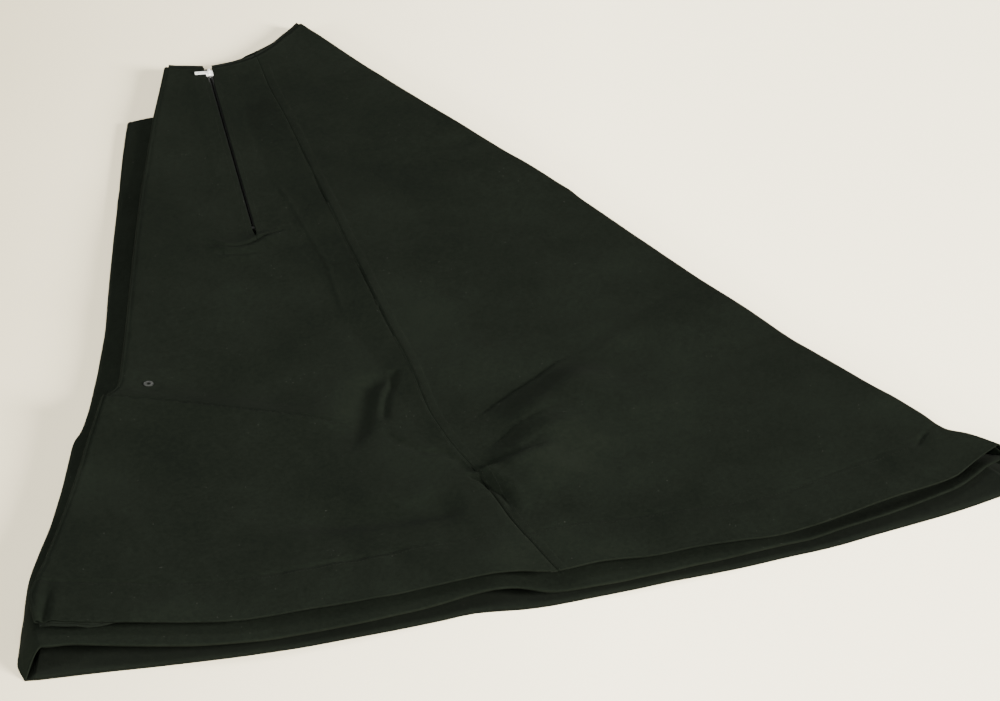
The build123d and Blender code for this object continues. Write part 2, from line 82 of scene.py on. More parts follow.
def count(n):
    """A number of rows or columns at the current level of detail."""
    return int(n * DETAIL)


# ==========================================================================================
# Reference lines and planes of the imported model
# ==========================================================================================
def joint_vector(name, field):
    return np.array(JOINTS[name][field], float)


FOLD_POS = joint_vector("centre_fold", "pos_m")
FOLD_AXIS = joint_vector("centre_fold", "axis")
LIFT_POS = joint_vector("mouth_lift", "pos_m")
LIFT_AXIS = joint_vector("mouth_lift", "axis")
LIFT_ANGLE = math.degrees(math.atan2(-LIFT_AXIS[0], -LIFT_AXIS[1]))
# the apex is where the side fold hinge meets the centre fold line in plan
_along_hinge = (FOLD_POS[0] - LIFT_POS[0]) / LIFT_AXIS[0]
APEX = np.array([FOLD_POS[0], LIFT_POS[1] + _along_hinge * LIFT_AXIS[1]])

_zip_axis = joint_vector("zip_slide", "axis")[:2]
ZIP_ALONG = _zip_axis / np.linalg.norm(_zip_axis)
ZIP_ACROSS = np.array([ZIP_ALONG[1], -ZIP_ALONG[0]])     # towards the side fold
ZIP_TOP = joint_vector("zip_pull_swing", "pos_m")[:2] - ZIP_ALONG * 11.0 * MM
ZIP_SLIT = 343.5                                         # length of the slit, mm
_eyelet_lo, _eyelet_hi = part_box("eyelet_barrel")
EYELET_XY = ((_eyelet_lo + _eyelet_hi) / 2)[:2]


def upper_plane(node):
    """c0, c1, c2 of z = c0 + c1 x + c2 y (metres) through the upper side of a flat sheet."""
    points = np.array([v.co for v in frame["nodes"][node].data.vertices], float)
    z = points[:, 2]
    terms = np.c_[np.ones(len(points)), points[:, 0], points[:, 1]]
    middle = np.linalg.lstsq(terms, z, rcond=None)[0]
    upper = z - terms @ middle > 0
    return np.linalg.lstsq(terms[upper], z[upper], rcond=None)[0]


PLANE_TOP = upper_plane("upper_front_side_panel")
PLANE_UPPER_BACK = upper_plane("upper_back_side_lining")
PLANE_LOWER_FRONT = upper_plane("lower_front_side_panel")


def plane_z(plane, x, y):
    return plane[0] + plane[1] * x + plane[2] * y


def plan_point(radius, angle):
    """Plan position in metres of a radius (mm) and angle (degrees) about the apex."""
    t = np.radians(angle)
    reach = np.asarray(radius) * MM
    return APEX[0] - reach * np.sin(t), APEX[1] - reach * np.cos(t)


def polar(x, y):
    """Radius (mm) and angle (degrees) of a plan position in metres."""
    dx, dy = APEX[0] - x, APEX[1] - y
    return np.hypot(dx, dy) / MM, np.degrees(np.arctan2(dx, dy))


def zip_point(u, v):
    """Plan position of a point u mm along the zip and v mm across it."""
    return (ZIP_TOP[0] + (ZIP_ALONG[0] * u + ZIP_ACROSS[0] * v) * MM,
            ZIP_TOP[1] + (ZIP_ALONG[1] * u + ZIP_ACROSS[1] * v) * MM)


def zip_uv(x, y):
    dx, dy = x - ZIP_TOP[0], y - ZIP_TOP[1]
    return ((dx * ZIP_ALONG[0] + dy * ZIP_ALONG[1]) / MM,
            (dx * ZIP_ACROSS[0] + dy * ZIP_ACROSS[1]) / MM)


_zip_stations = np.linspace(-120, 1150, 400)
_zip_radii, _zip_angles = polar(*zip_point(_zip_stations, 0))


def zip_angle(radius):
    """Angle of the zip's centre line at a radius."""
    return np.interp(radius, _zip_radii, _zip_angles)


def zip_u(radius):
    """Distance along the zip at a radius."""
    return np.interp(radius, _zip_radii, _zip_stations)


def slit_half(u):
    """Half width of the slit, mm: wide at the slider, closing to its lower end."""
    return np.interp(u, [-50, 17, 32, 330, ZIP_SLIT], [3.6, 3.6, 1.7, 1.5, 0.12])


# ==========================================================================================
# Outlines
# ==========================================================================================
def smooth_table(table, step, sigma):
    """A two-column table as a function, its corners rounded by a Gaussian of width sigma."""
    keys, values = np.array(table, float).T
    xs = np.arange(keys[0], keys[-1] + step, step)
    ys = np.interp(xs, keys, values)
    n = int(4 * sigma / step) | 1
    weights = np.exp(-0.5 * ((np.arange(n) - n // 2) * step / sigma) ** 2)
    weights /= weights.sum()
    padded = np.r_[np.full(n // 2, ys[0]), ys, np.full(n // 2, ys[-1])]
    ys = np.convolve(padded, weights, "valid")
    return lambda q: np.interp(q, xs, ys)


# Ends of the leaves: (angle, radius)
neck_top = smooth_table([
    (-3, 222), (0, 224), (2.2, 227), (9.1, 245), (14.4, 263), (18.6, 276), (23.4, 283),
    (28.2, 288.5), (33, 285), (37.1, 284), (45, 284)], step=0.05, sigma=0.35)
hem_top = smooth_table([
    (-3, 1241), (-0.8, 1244), (0.24, 1248.5), (1.07, 1254.2), (1.9, 1261), (2.68, 1263.2),
    (3.86, 1263), (5.08, 1263.4), (6.25, 1263.3), (7.42, 1263.7), (8.62, 1265.5),
    (9.69, 1264.6), (10.74, 1262.3), (11.71, 1257.8), (12.73, 1254.8), (13.77, 1253.5),
    (14.82, 1252.9), (15.83, 1251.1), (16.82, 1248.5), (17.84, 1246.6), (18.6, 1247.4),
    (19.4, 1248), (20.1, 1246), (20.8, 1242.8), (21.78, 1242.4), (22.79, 1243.4),
    (23.82, 1244.8), (24.85, 1248), (25.89, 1255), (26.88, 1258), (27.85, 1261),
    (28.83, 1265.3), (29.79, 1269.1), (30.75, 1273.2), (31.69, 1277), (32.63, 1278.4),
    (33.55, 1277.9), (34.48, 1278.2), (36.34, 1277.8), (38.2, 1277.4), (39.12, 1279),
    (39.6, 1278), (45, 1275)], step=0.05, sigma=0.28)
neck_lower = smooth_table([
    (-3, 222), (0, 225), (10, 237), (20, 259), (30, 310), (36, 367), (37.7, 375),
    (39.8, 379.4), (41.7, 383.5), (46, 392)], step=0.05, sigma=0.5)
hem_lower_front = smooth_table([
    (-3, 1256), (-0.6, 1252), (-0.3, 1250), (0.7, 1258), (2.0, 1266), (3.7, 1267), (5.3, 1268),
    (7.6, 1267.5), (9.1, 1270.5), (10.1, 1268), (11.03, 1267), (11.99, 1266.7),
    (13.04, 1266.6), (14.07, 1265.3), (15.12, 1265.5), (16.14, 1264.8), (17.18, 1265.4),
    (18.18, 1263.3), (19.17, 1260.4), (20.12, 1258.4), (20.93, 1250), (21.9, 1249.2),
    (22.94, 1252.6), (23.99, 1259.3), (25.01, 1265.0), (26.0, 1268.7), (26.99, 1274),
    (27.96, 1278.5), (28.92, 1283.1), (29.87, 1287.3), (30.81, 1292), (31.74, 1293.9),
    (32.66, 1295.6), (33.58, 1297.2), (35.41, 1297.4), (37.25, 1297.2), (38.17, 1297),
    (39.06, 1303), (45, 1301)], step=0.05, sigma=0.28)
hem_lower_back = smooth_table([
    (-3, 1294), (0.65, 1287), (2.16, 1285.4), (3.31, 1283.3), (4.41, 1280.8), (5.52, 1278.6),
    (6.62, 1276.8), (7.76, 1276.4), (8.82, 1274.8), (9.85, 1272), (10.91, 1270.5),
    (11.97, 1269.6), (12.99, 1267.9), (14.02, 1266.3), (15.02, 1264.6), (16.07, 1265),
    (18.12, 1265.1), (20.15, 1266.5), (21.12, 1265), (22.05, 1261.6), (23.01, 1259.8),
    (24.05, 1264.3), (25.04, 1267.5), (26.03, 1270.9), (27.01, 1274.3), (27.97, 1277.5),
    (28.93, 1281.7), (29.89, 1285.6), (30.82, 1288.6), (31.75, 1292.1), (32.68, 1295.1),
    (33.6, 1298.2), (34.51, 1301.6), (35.41, 1305), (36.32, 1308.4), (37.21, 1312.4),
    (38.09, 1317.1), (38.97, 1322.1), (39.6, 1326), (45, 1320)], step=0.05, sigma=0.28)

# Sides of the leaves and the seam: (radius, angle)
side_top = smooth_table([
    (200, 36.5), (280, 37.15), (335, 37.6), (386, 37.95), (525, 38.1), (659, 37.9),
    (787, 37.7), (884, 37.65), (901, 37.8), (916, 38.45), (979, 38.8), (1046, 39.07),
    (1111, 39.36), (1176, 39.66), (1222, 39.92), (1246, 39.98), (1275, 39.6),
    (1300, 39.3)], step=1, sigma=7)
side_lower = smooth_table([
    (200, 43), (382, 41.7), (514, 40.5), (533, 40.45), (545, 40.3), (626, 39.85),
    (770, 39.15), (848, 39.12), (908, 39.2), (955, 39.4), (963, 39.7), (1040, 39.75),
    (1104, 39.9), (1152, 40.15), (1194, 40.3), (1232, 40.2), (1262, 40.2), (1305, 40.3),
    (1340, 39.6)], step=1, sigma=6)
seam = smooth_table([
    (200, 17.6), (278, 18.4), (340, 19.5), (410, 19.75), (486, 20.2), (559, 20.5),
    (665, 20.7), (742, 20.85), (817, 20.9), (866, 20.85), (909, 20.95), (972, 21.15),
    (1026, 20.95), (1070, 20.4), (1116, 20.2), (1168, 20.05), (1203, 19.75), (1233, 19.5),
    (1256, 19.3), (1300, 19.1)], step=1, sigma=14)
fold_edge = smooth_table([
    (190, 2.0), (225, 1.8), (394, 1.25), (550, 0.55), (640, 0.10), (656, 0.02), (672, 0.16),
    (749, 0.30), (841, 0.38), (928, 0.32), (1000, 0.42), (1020, 0.36), (1069, 0.24),
    (1105, 0.12), (1123, 0.02), (1139, -0.02), (1165, -0.06), (1185, 0.0), (1200, -0.04),
    (1207, -0.26), (1213, -0.46), (1226, -0.74), (1243, -1.02), (1290, -1.5)],
    step=1, sigma=4)

# Height of the lower front leaf's hem over the table: (angle, mm)
hem_lower_front_height = smooth_table([
    (-3, 11), (0, 11), (8, 12), (13.7, 13), (17.9, 12), (19.5, 9), (20.6, 13), (21.8, 15.5),
    (25.8, 15), (29.7, 16), (33.4, 17), (37, 19), (39.2, 20), (45, 21)], step=0.05, sigma=0.35)


def neck_upper_back(angle):
    return neck_top(angle) + 0.8


def hem_upper_back(angle):
    """The top leaf's hem with a slow wave, held back except near the side fold."""
    inset = np.interp(angle, [2, 8, 30, 36.3, 37.4, 38.0, 38.9, 40],
                      [-9.0, -6.5, -6.0, -6.0, 4.2, 2.4, 4.6, 4.8])
    return hem_top(angle) + 0.4 + 1.0 * np.sin(np.asarray(angle) * 0.9) + inset


# ==========================================================================================
# Shaping functions
# ==========================================================================================
def hash_noise(ix, iy, seed):
    n = (ix * 374761393 + iy * 668265263 + seed * 974634777) & 0xFFFFFFFF
    n = ((n ^ (n >> 13)) * 1274126177) & 0xFFFFFFFF
    n = n ^ (n >> 16)
    return (n & 0xFFFF) / 65535.0 * 2 - 1


def noise(x, y, scale, seed):
    """Smooth value noise from -1 to 1; x, y and scale in mm."""
    x, y = np.asarray(x) / scale + 1000, np.asarray(y) / scale + 1000
    ix, iy = np.floor(x).astype(np.int64), np.floor(y).astype(np.int64)
    fx, fy = x - ix, y - iy
    fx = fx * fx * fx * (fx * (fx * 6 - 15) + 10)
    fy = fy * fy * fy * (fy * (fy * 6 - 15) + 10)
    near = hash_noise(ix, iy, seed) * (1 - fx) + hash_noise(ix + 1, iy, seed) * fx
    far = hash_noise(ix, iy + 1, seed) * (1 - fx) + hash_noise(ix + 1, iy + 1, seed) * fx
    return near * (1 - fy) + far * fy


def bell(value, centre, width):
    return np.exp(-((value - centre) / width) ** 2)


def ease(value, lo, hi):
    """Smooth step from 0 at lo to 1 at hi."""
    t = np.clip((value - lo) / (hi - lo), 0, 1)
    return t * t * (3 - 2 * t)


def taper(share, start, end):
    """1 along the middle of a line, easing to 0 over the start and end shares."""
    rise = np.clip(share / max(start, 1e-6), 0, 1)
    fall = np.clip((1 - share) / max(end, 1e-6), 0, 1)
    w = np.minimum(rise, fall)
    return w * w * (3 - 2 * w)


def polyline_field(x, y, points):
    """Signed distance (mm) from a line of (radius, angle) points, and the share along it.

    The distance is positive to the left of the direction of travel, seen from above.
    """
    px, py = plan_point(*np.array(points, float).T)
    lengths = np.hypot(np.diff(px), np.diff(py))
    nearest = np.full(x.shape, 1e9)
    signed = np.zeros(x.shape)
    for i, length in enumerate(lengths):
        dx, dy = (px[i + 1] - px[i]) / length, (py[i + 1] - py[i]) / length
        t = np.clip((x - px[i]) * dx + (y - py[i]) * dy, 0, length)
        distance = np.hypot(x - px[i] - t * dx, y - py[i] - t * dy)
        side = np.sign(dx * (y - py[i]) - dy * (x - px[i]))
        closer = distance < nearest
        nearest = np.where(closer, distance, nearest)
        signed = np.where(closer, side * distance, signed)
    # measured on the straight line between the ends, so that the share has no jumps
    cx, cy = px[-1] - px[0], py[-1] - py[0]
    share = np.clip(((x - px[0]) * cx + (y - py[0]) * cy) / (cx * cx + cy * cy), 0, 1)
    return signed / MM, share


# ==========================================================================================
# Surfaces: small relief (mm) over the model's planes
# ==========================================================================================
SEAM_PATH = [(radius, float(seam(radius))) for radius in range(270, 1290, 12)]
HEM_MM_PER_DEGREE = 22          # turns an angle into a rough distance along the hem, for noise

# Creases of the top leaf: kind, height (mm), widths left and right of travel (mm),
# taper shares at start and end, then the line as (radius, angle)
CREASES = [
    # long fold across the side panel from its outer edge
    ("fold", 8.0, 24, 60, 0.001, 0.3,
     [(919.7, 38.46), (926.3, 35.57), (940.2, 31.93), (959.1, 28.44), (971.8, 26.13),
      (978.8, 24.66)]),
    # V-shaped wrinkles where that fold runs out
    ("valley", 5.0, 10, 19, 0.2, 0.4,
     [(888, 22.0), (900, 22.8), (918, 23.7), (946, 24.2), (979, 24.9), (1002, 25.5),
      (1030, 26.0)]),
    ("valley", 2.2, 4, 3.5, 0.1, 0.2,
     [(891, 21.8), (916, 22.3), (935, 22.9), (958, 23.3), (980, 23.6)]),
    ("ridge", 1.2, 8, 8, 0.35, 0.4, [(893, 22.1), (925, 23.1), (958, 24.0), (985, 24.6)]),
    ("ridge", 1.6, 14, 18, 0.4, 0.4, [(880, 23.2), (905, 24.6), (940, 25.6), (985, 26.8)]),
    ("valley", 1.8, 4, 6, 0.25, 0.1,
     [(979, 23.6), (1002, 23.7), (1018, 23.1), (1033, 22.4), (1040, 21.4), (1056, 20.9),
      (1078, 20.6)]),
    # wrinkles round the lower end of the zip slit
    ("ridge", 3.0, 9.0, 13, 0.25, 0.25,
     [(636, 32.6), (648, 30.5), (650, 29.4), (647, 28.4), (630, 26.5), (619, 24.8)]),
    ("valley", 2.4, 2.6, 2.6, 0.15, 0.15,
     [(633, 32.6), (646, 30.5), (648, 29.6), (645, 28.5), (641, 27.9), (628, 26.5),
      (617, 24.8)]),
    ("ridge", 1.2, 4.0, 11, 0.3, 0.35, [(654, 31.4), (664, 30.5), (664, 28.8), (662, 27.2)]),
    ("valley", 1.6, 2.6, 2.6, 0.2, 0.35,
     [(650, 31.4), (661, 30.6), (662, 29.2), (660, 28.2), (660, 27.0)]),
    # diagonal folds of the centre panel, and a crease along the seam
    ("step", 10.4, 38, 16, 0.34, 0.35,
     [(918, 11.2), (931, 13.1), (948, 14.7), (962, 16.1), (975, 17.3), (986, 18.2),
      (996, 18.9), (1004, 19.9)]),
    ("step", 7.0, 26, 10, 0.5, 0.3,
     [(1002, 13.6), (1014, 15.4), (1018, 16.2), (1024, 17.4), (1035, 18.4), (1049, 19.3),
      (1064, 20.0)]),
    ("step", 4.6, 19, 8, 0.4, 0.25,
     [(1046, 15.9), (1060, 17.4), (1064, 18.2), (1069, 19.1), (1078, 19.9)]),
    ("step", 5.8, 14, 3, 0.08, 0.6,
     [(1078, 20.9), (1091, 20.4), (1107, 20.1), (1119, 19.8), (1139, 19.75), (1163, 19.9)]),
    ("valley", 2.4, 4.0, 2.8, 0.10, 0.6,
     [(1078, 20.9), (1091, 20.4), (1107, 20.1), (1119, 19.8), (1139, 19.75), (1163, 19.9)]),
    ("step", 1.3, 16, 16, 0.35, 0.3,
     [(859, 1.1), (872, 4.2), (890, 7.6), (915, 10.8), (931, 13.1)]),
    # soft waves across the side panel
    ("valley", 4.6, 28, 15, 0.35, 0.15,
     [(1136, 31.0), (1129, 28.9), (1131, 27.2), (1131, 25.6), (1131, 23.9), (1130, 22.6),
      (1122, 21.3)]),
    ("ridge", 1.6, 20, 12, 0.3, 0.3, [(1108, 27.0), (1106, 24.5), (1100, 22.4)]),
    ("valley", 1.6, 18, 34, 0.2, 0.35, [(1037, 39.0), (1048, 37.4), (1052, 34.6), (1058, 33.2)]),
    ("valley", 1.5, 26, 44, 0.3, 0.2, [(750, 32.7), (745, 29.2), (743, 25.7), (738, 22.7)]),
    ("valley", 3.8, 42, 24, 0.3, 0.3, [(880, 35.6), (894, 32.4), (914, 29.0), (930, 26.4)]),
    # fine ridge beside the seam
    ("ridge", 0.45, 3.0, 2.2, 0.2, 0.2,
     [(489, 24.8), (524, 24.5), (575, 23.7), (697, 22.96), (770, 23.2), (820, 23.3)]),
    # small dents and a ridge by the centre fold
    ("valley", 1.0, 10, 12, 0.2, 0.4, [(520, 1.5), (524, 4.0), (526, 6.5)]),
    ("valley", 1.0, 2.4, 2.8, 0.25, 0.4, [(1189, 0.8), (1198, 1.55), (1207, 2.2)]),
    ("ridge", 0.35, 7, 6, 0.3, 0.4, [(1196, 0.5), (1206, 1.3), (1216, 2.0)]),
]


def slow_relief(x, y):
    """Undulation of the whole leaf, from broad to fine; x and y in mm."""
    return (1.5 * noise(x, y, 190, 3)
            + 0.85 * noise(x * 0.9 + 0.4 * y, y * 0.9 - 0.4 * x, 85, 7)
            + 0.38 * noise(x, y, 38, 11) + 0.13 * noise(x, y, 17, 12))


def seam_relief(x, y, radius):
    """The centre panel stands higher and falls away over the seam towards the side panel."""
    across = -polyline_field(x, y, SEAM_PATH)[0]         # mm, positive towards the side fold
    height = np.interp(radius, [270, 340, 420, 560, 760, 880, 930, 1000, 1060, 1260],
                       [0.2, 1.2, 4.4, 6.4, 6.2, 5.0, 3.6, 2.0, 0.6, 0.3])
    height = height * (0.85 + 0.3 * noise(radius, 0, 60, 51))
    band = np.interp(radius, [270, 420, 500, 560, 760, 880, 940, 1300],
                     [20, 38, 40, 40, 36, 26, 18, 14])
    crisp = np.interp(radius, [270, 480, 560, 920, 990, 1060],
                      [0.99, 0.93, 0.86, 0.86, 0.98, 1.0])
    q = np.clip(across / band, 0, 1)
    slope = crisp * (0.25 * (1 - q ** 1.3) + 0.75 * (1 - q) ** 1.35)
    relief = height * np.where(across > 0, slope, 1.0) * np.exp(-np.clip(-across, 0, None) / 150)
    # nearer the hem the seam lies in a crease instead
    depth = np.interp(radius, [1000, 1060, 1110, 1160, 1220, 1262], [0, 0.8, 1.5, 1.8, 1.2, 0.8])
    distance = np.abs(across)
    relief -= depth * np.where(across < 0, np.exp(-distance / 14), np.exp(-distance / 5))
    # felled band beside the seam, and the fine groove of the seam line
    relief += (0.30 * np.exp(-((across + 5.2) / 3.4) ** 4)
               * np.interp(radius, [270, 420, 950, 1000, 1260], [0.2, 1, 1, 0.6, 0.8]))
    groove = np.interp(radius, [270, 330, 420, 560, 930, 985, 1060, 1085, 1160, 1260],
                       [0.15, 0.2, 0.3, 0.7, 0.6, 0.12, 0.15, 0.8, 0.6, 0.3])
    return relief - 0.8 * bell(across, 0, 1.5) * groove


def fold_profile(s, left, right, angle):
    """A crisp crest that falls steeply on the left and slowly on the right."""
    q = np.abs(s)
    steep = np.exp(-q / left) * 0.66 - 0.42 * np.exp(-(q / 4.5) ** 2)
    profile = np.where(s < 0, np.exp(s / right), steep)
    profile = profile + 0.76 * np.where(s >= 0, ease(-s, -1.3, 0.0), 0.0)
    return profile * (1 - ease(31 - angle, 7.9, 9.2))    # kept off the centre panel


def step_profile(s, left, right):
    """A sharp crease from which the cloth rises to a rounded crest on the left."""
    q = np.abs(s)
    foot = -0.12 * left
    beyond_crest = 2.2 * min(left, 18) + 0.5 * max(left - 18, 0)
    crest = ease(q, foot, left) * np.exp(-(np.clip(q - left, 0, None) / beyond_crest) ** 1.5)
    dip = ease(0.0, foot, left) * np.exp(-q / 1.5) - 0.16 * np.exp(-q / right)
    return np.where(s > 0, crest, dip)


def crease_relief(x, y, angle):
    relief = np.zeros(x.shape)
    for kind, height, left, right, start, end, points in CREASES:
        s, share = polyline_field(x, y, points)
        if kind == "fold":
            profile = fold_profile(s, left, right, angle)
        elif kind == "step":
            profile = step_profile(s, left, right)
        else:
            profile = np.where(s > 0, bell(s, 0, left), bell(s, 0, right))
            if kind == "valley":
                profile = -profile
        relief += height * profile * taper(share, start, end)
    return relief


def end_relief(radius, angle):
    """Turned hem with its stitch line, puckers and bunched corners; lifted neck corner."""
    inside = hem_top(angle) - radius                     # mm from the hem
    along = angle * HEM_MM_PER_DEGREE
    line = 62 + 3.0 * noise(along, 0, 90, 15)
    depth = np.interp(angle, [0, 1.5, 23, 27, 39], [0.3, 1, 1, 2.1, 2.4])
    relief = -0.7 * bell(inside, line, 3.2) * depth * (0.65 + 0.35 * noise(along, 0, 120, 16))
    relief += 0.9 * bell(inside, 30, 26)
    # puckers: on the stitch line, between it and the hem, and at the hem itself
    relief += 0.8 * noise(along, inside * 0.25, 18, 21) * bell(inside, 56, 26)
    relief += 0.7 * noise(along, inside * 0.5, 34, 23) * bell(inside, 25, 30)
    relief += 1.3 * noise(along, 0, 60, 5) * bell(inside, 0, 30)
    # bulge and dip of the hem either side of the seam's end
    relief += 2.6 * bell(angle, 22.0, 1.9) * bell(inside, 0, 60)
    relief -= 2.8 * bell(angle, 19.4, 1.2) * bell(inside, 0, 55)
    # bunched corner where the side fold meets the hem
    relief += 2.2 * bell(angle, 39.62, 0.26) * ease(radius, 1190, 1240)
    relief -= 2.2 * bell(angle, 39.22, 0.17) * ease(radius, 1196, 1255)
    relief += 1.2 * bell(angle, 38.86, 0.26) * ease(radius, 1205, 1262)
    return relief + 1.0 * bell(angle, 36.8, 1.6) * bell(radius, 284, 60)


def flatten_for_hardware(relief, x, y):
    """Level the cloth round the zip and the eyelet, and raise the lips of the slit."""
    u, v = zip_uv(x, y)
    below_top = ease(u, -60, -20)
    relief = relief * (1 - (1 - ease(np.abs(v), 9, 34)) * (1 - ease(u, 326, 344)) * below_top)
    # soften hollows close to the zip
    close = (1 - ease(np.abs(v), 14, 26)) * (1 - ease(u, 352, 372)) * below_top
    relief = relief + close * (np.sqrt(relief * relief + 0.05) - relief) * 0.5
    lips = np.where(v > 0, 0.75 * np.exp(-np.clip(v - 1.7, 0, None) / 16),
                    1.0 * np.exp(-np.clip(-v - 1.7, 0, None) / 12))
    relief += ease(u, 18, 60) * (1 - ease(u, 345, 360)) * lips
    return relief * ease(np.hypot(x - EYELET_XY[0], y - EYELET_XY[1]) / MM, 7, 22)


def z_top(x, y):
    """Upper surface of the top leaf."""
    radius, angle = polar(x, y)
    relief = slow_relief(x / MM, y / MM) + seam_relief(x, y, radius)
    relief = relief + crease_relief(x, y, angle) + end_relief(radius, angle)
    return plane_z(PLANE_TOP, x, y) + flatten_for_hardware(relief, x, y) * MM


def under_relief(x, y, seed):
    """Gentle undulation of a covered leaf, in metres."""
    x, y = x / MM, y / MM
    waves = (1.0 * noise(x, y, 170, seed) + 0.5 * noise(x, y, 70, seed + 1)
             + 0.2 * noise(x, y, 30, seed + 2))
    return 0.6 * waves * MM


def z_upper_back(x, y):
    """Upper surface of the upper back leaf, kept below the top leaf and close to it at the hem."""
    radius, angle = polar(x, y)
    top = z_top(x, y)
    z = plane_z(PLANE_UPPER_BACK, x, y) + under_relief(x, y, seed=31)
    z = np.minimum(z, top - 1.5 * MM)
    hem = hem_top(angle)
    near_hem = ease(radius, hem - 150, hem - 20)
    return z * (1 - near_hem) + (top - 2.5 * MM) * near_hem


def z_lower_front(x, y):
    """Upper surface of the lower front leaf."""
    radius, angle = polar(x, y)
    hem = hem_lower_front(angle)
    near_hem = ease(radius, hem - 130, hem - 5)
    z = plane_z(PLANE_LOWER_FRONT, x, y) + under_relief(x, y, seed=41)
    z = z * (1 - near_hem) + (Z_TABLE + hem_lower_front_height(angle) * MM) * near_hem
    # hollow behind the hem near the centre fold
    z = z - 4.6 * MM * bell(hem - radius, 22, 15) * (1 - ease(angle, 6.5, 12))
    z = np.where(angle < 38.3, np.minimum(z, z_upper_back(x, y) - 1.6 * MM), z)
    # the strip that shows beside the top leaf rolls down towards its folded edge
    to_edge = np.clip((side_lower(radius) - angle) * np.pi / 180 * radius, 0, None)
    return z - 2.4 * MM * bell(to_edge, 0, 13) * (1 - ease(radius, 1120, 1230)) * (angle > 30)


def z_lower_back(x, y):
    """Upper surface of the lower back leaf, which lies on the table."""
    radius, angle = polar(x, y)
    return Z_TABLE + (1.35 + 0.5 * bell(hem_lower_back(angle), radius, 14)) * MM


def fold_axis_z(y):
    return FOLD_POS[2] + (y - FOLD_POS[1]) / FOLD_AXIS[1] * FOLD_AXIS[2]


# ==========================================================================================
# Mesh helpers
# ==========================================================================================
def make_object(name, vertices, faces):
    mesh = bpy.data.meshes.new(name)
    mesh.from_pydata([tuple(v) for v in vertices], [], faces)
    mesh.validate()
    mesh.update()
    mesh.polygons.foreach_set("use_smooth", [True] * len(mesh.polygons))
    ob = bpy.data.objects.new(name, mesh)
    bpy.context.scene.collection.objects.link(ob)
    return ob


def sheet(name, x, y, z, materials, thickness=0.85, down=True, skip=None):
    """A cloth sheet on a grid of positions; its thickness (mm) goes down, or up, from them.

    The second material, if any, is for the other side; skip(row, column) leaves a face out.
    """
    n_rows, n_columns = x.shape
    faces = []
    for i in range(n_rows - 1):
        for j in range(n_columns - 1):
            if skip is None or not skip(i, j):
                k = i * n_columns + j
                faces.append((k, k + 1, k + n_columns + 1, k + n_columns))
    ob = make_object(name, np.stack([x, y, z], -1).reshape(-1, 3), faces)
    mesh = ob.data
    sample = list(mesh.polygons)[:: max(1, len(mesh.polygons) // 200)]
    if sum(p.normal.z for p in sample) < 0:
        mesh.flip_normals()
    for material in materials:
        mesh.materials.append(material)
    solidify = ob.modifiers.new("thick", "SOLIDIFY")
    solidify.thickness = thickness * MM
    solidify.offset = -1.0 if down else 1.0
    solidify.use_even_offset = False
    solidify.use_rim = True
    solidify.material_offset = len(materials) - 1
    return ob


def register(ob, replaces=(), body=None):
    if body:
        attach(ob, body)
    if replaces:
        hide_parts(*replaces)


def row_shares(n):
    """n values from 0 (neck) to 1 (hem), closer together by the hem."""
    fine_start = 1 - 0.07
    n_fine = int(n * 0.14)
    return np.r_[np.linspace(0, fine_start, n - n_fine),
                 np.linspace(fine_start, 1, n_fine + 1)[1:]]


def spread(share, width, start_mm, start_share, end_mm, end_share):
    """Share across a width (mm), the first and last columns packed into start_mm and end_mm."""
    middle = start_mm + ((width - start_mm - end_mm) * (share - start_share)
                         / (1 - start_share - end_share))
    position = np.where(share < start_share, share / start_share * start_mm,
                        np.where(share > 1 - end_share,
                                 width - (1 - share) / end_share * end_mm, middle))
    return position / width


def leaf_grid(shares, columns, angle_of, neck, hem):
    """Radius, x and y of a leaf's grid; angle_of(column, radius) gives a column's angle."""
    share, column = np.meshgrid(shares, columns, indexing="ij")
    radius = np.full(share.shape, 800.0)
    # the ends depend on the angle and the angle on the radius, so settle both together
    for _ in range(5):
        angle = angle_of(column, radius)
        radius = neck(angle) + (hem(angle) - neck(angle)) * share
    return radius, *plan_point(radius, angle)


def edge_normal(x, y):
    """Unit plan normal of a line running neck to hem, pointing towards the side fold (-X)."""
    dx, dy = np.gradient(x), np.gradient(y)
    length = np.hypot(dx, dy)
    return dy / length, -dx / length


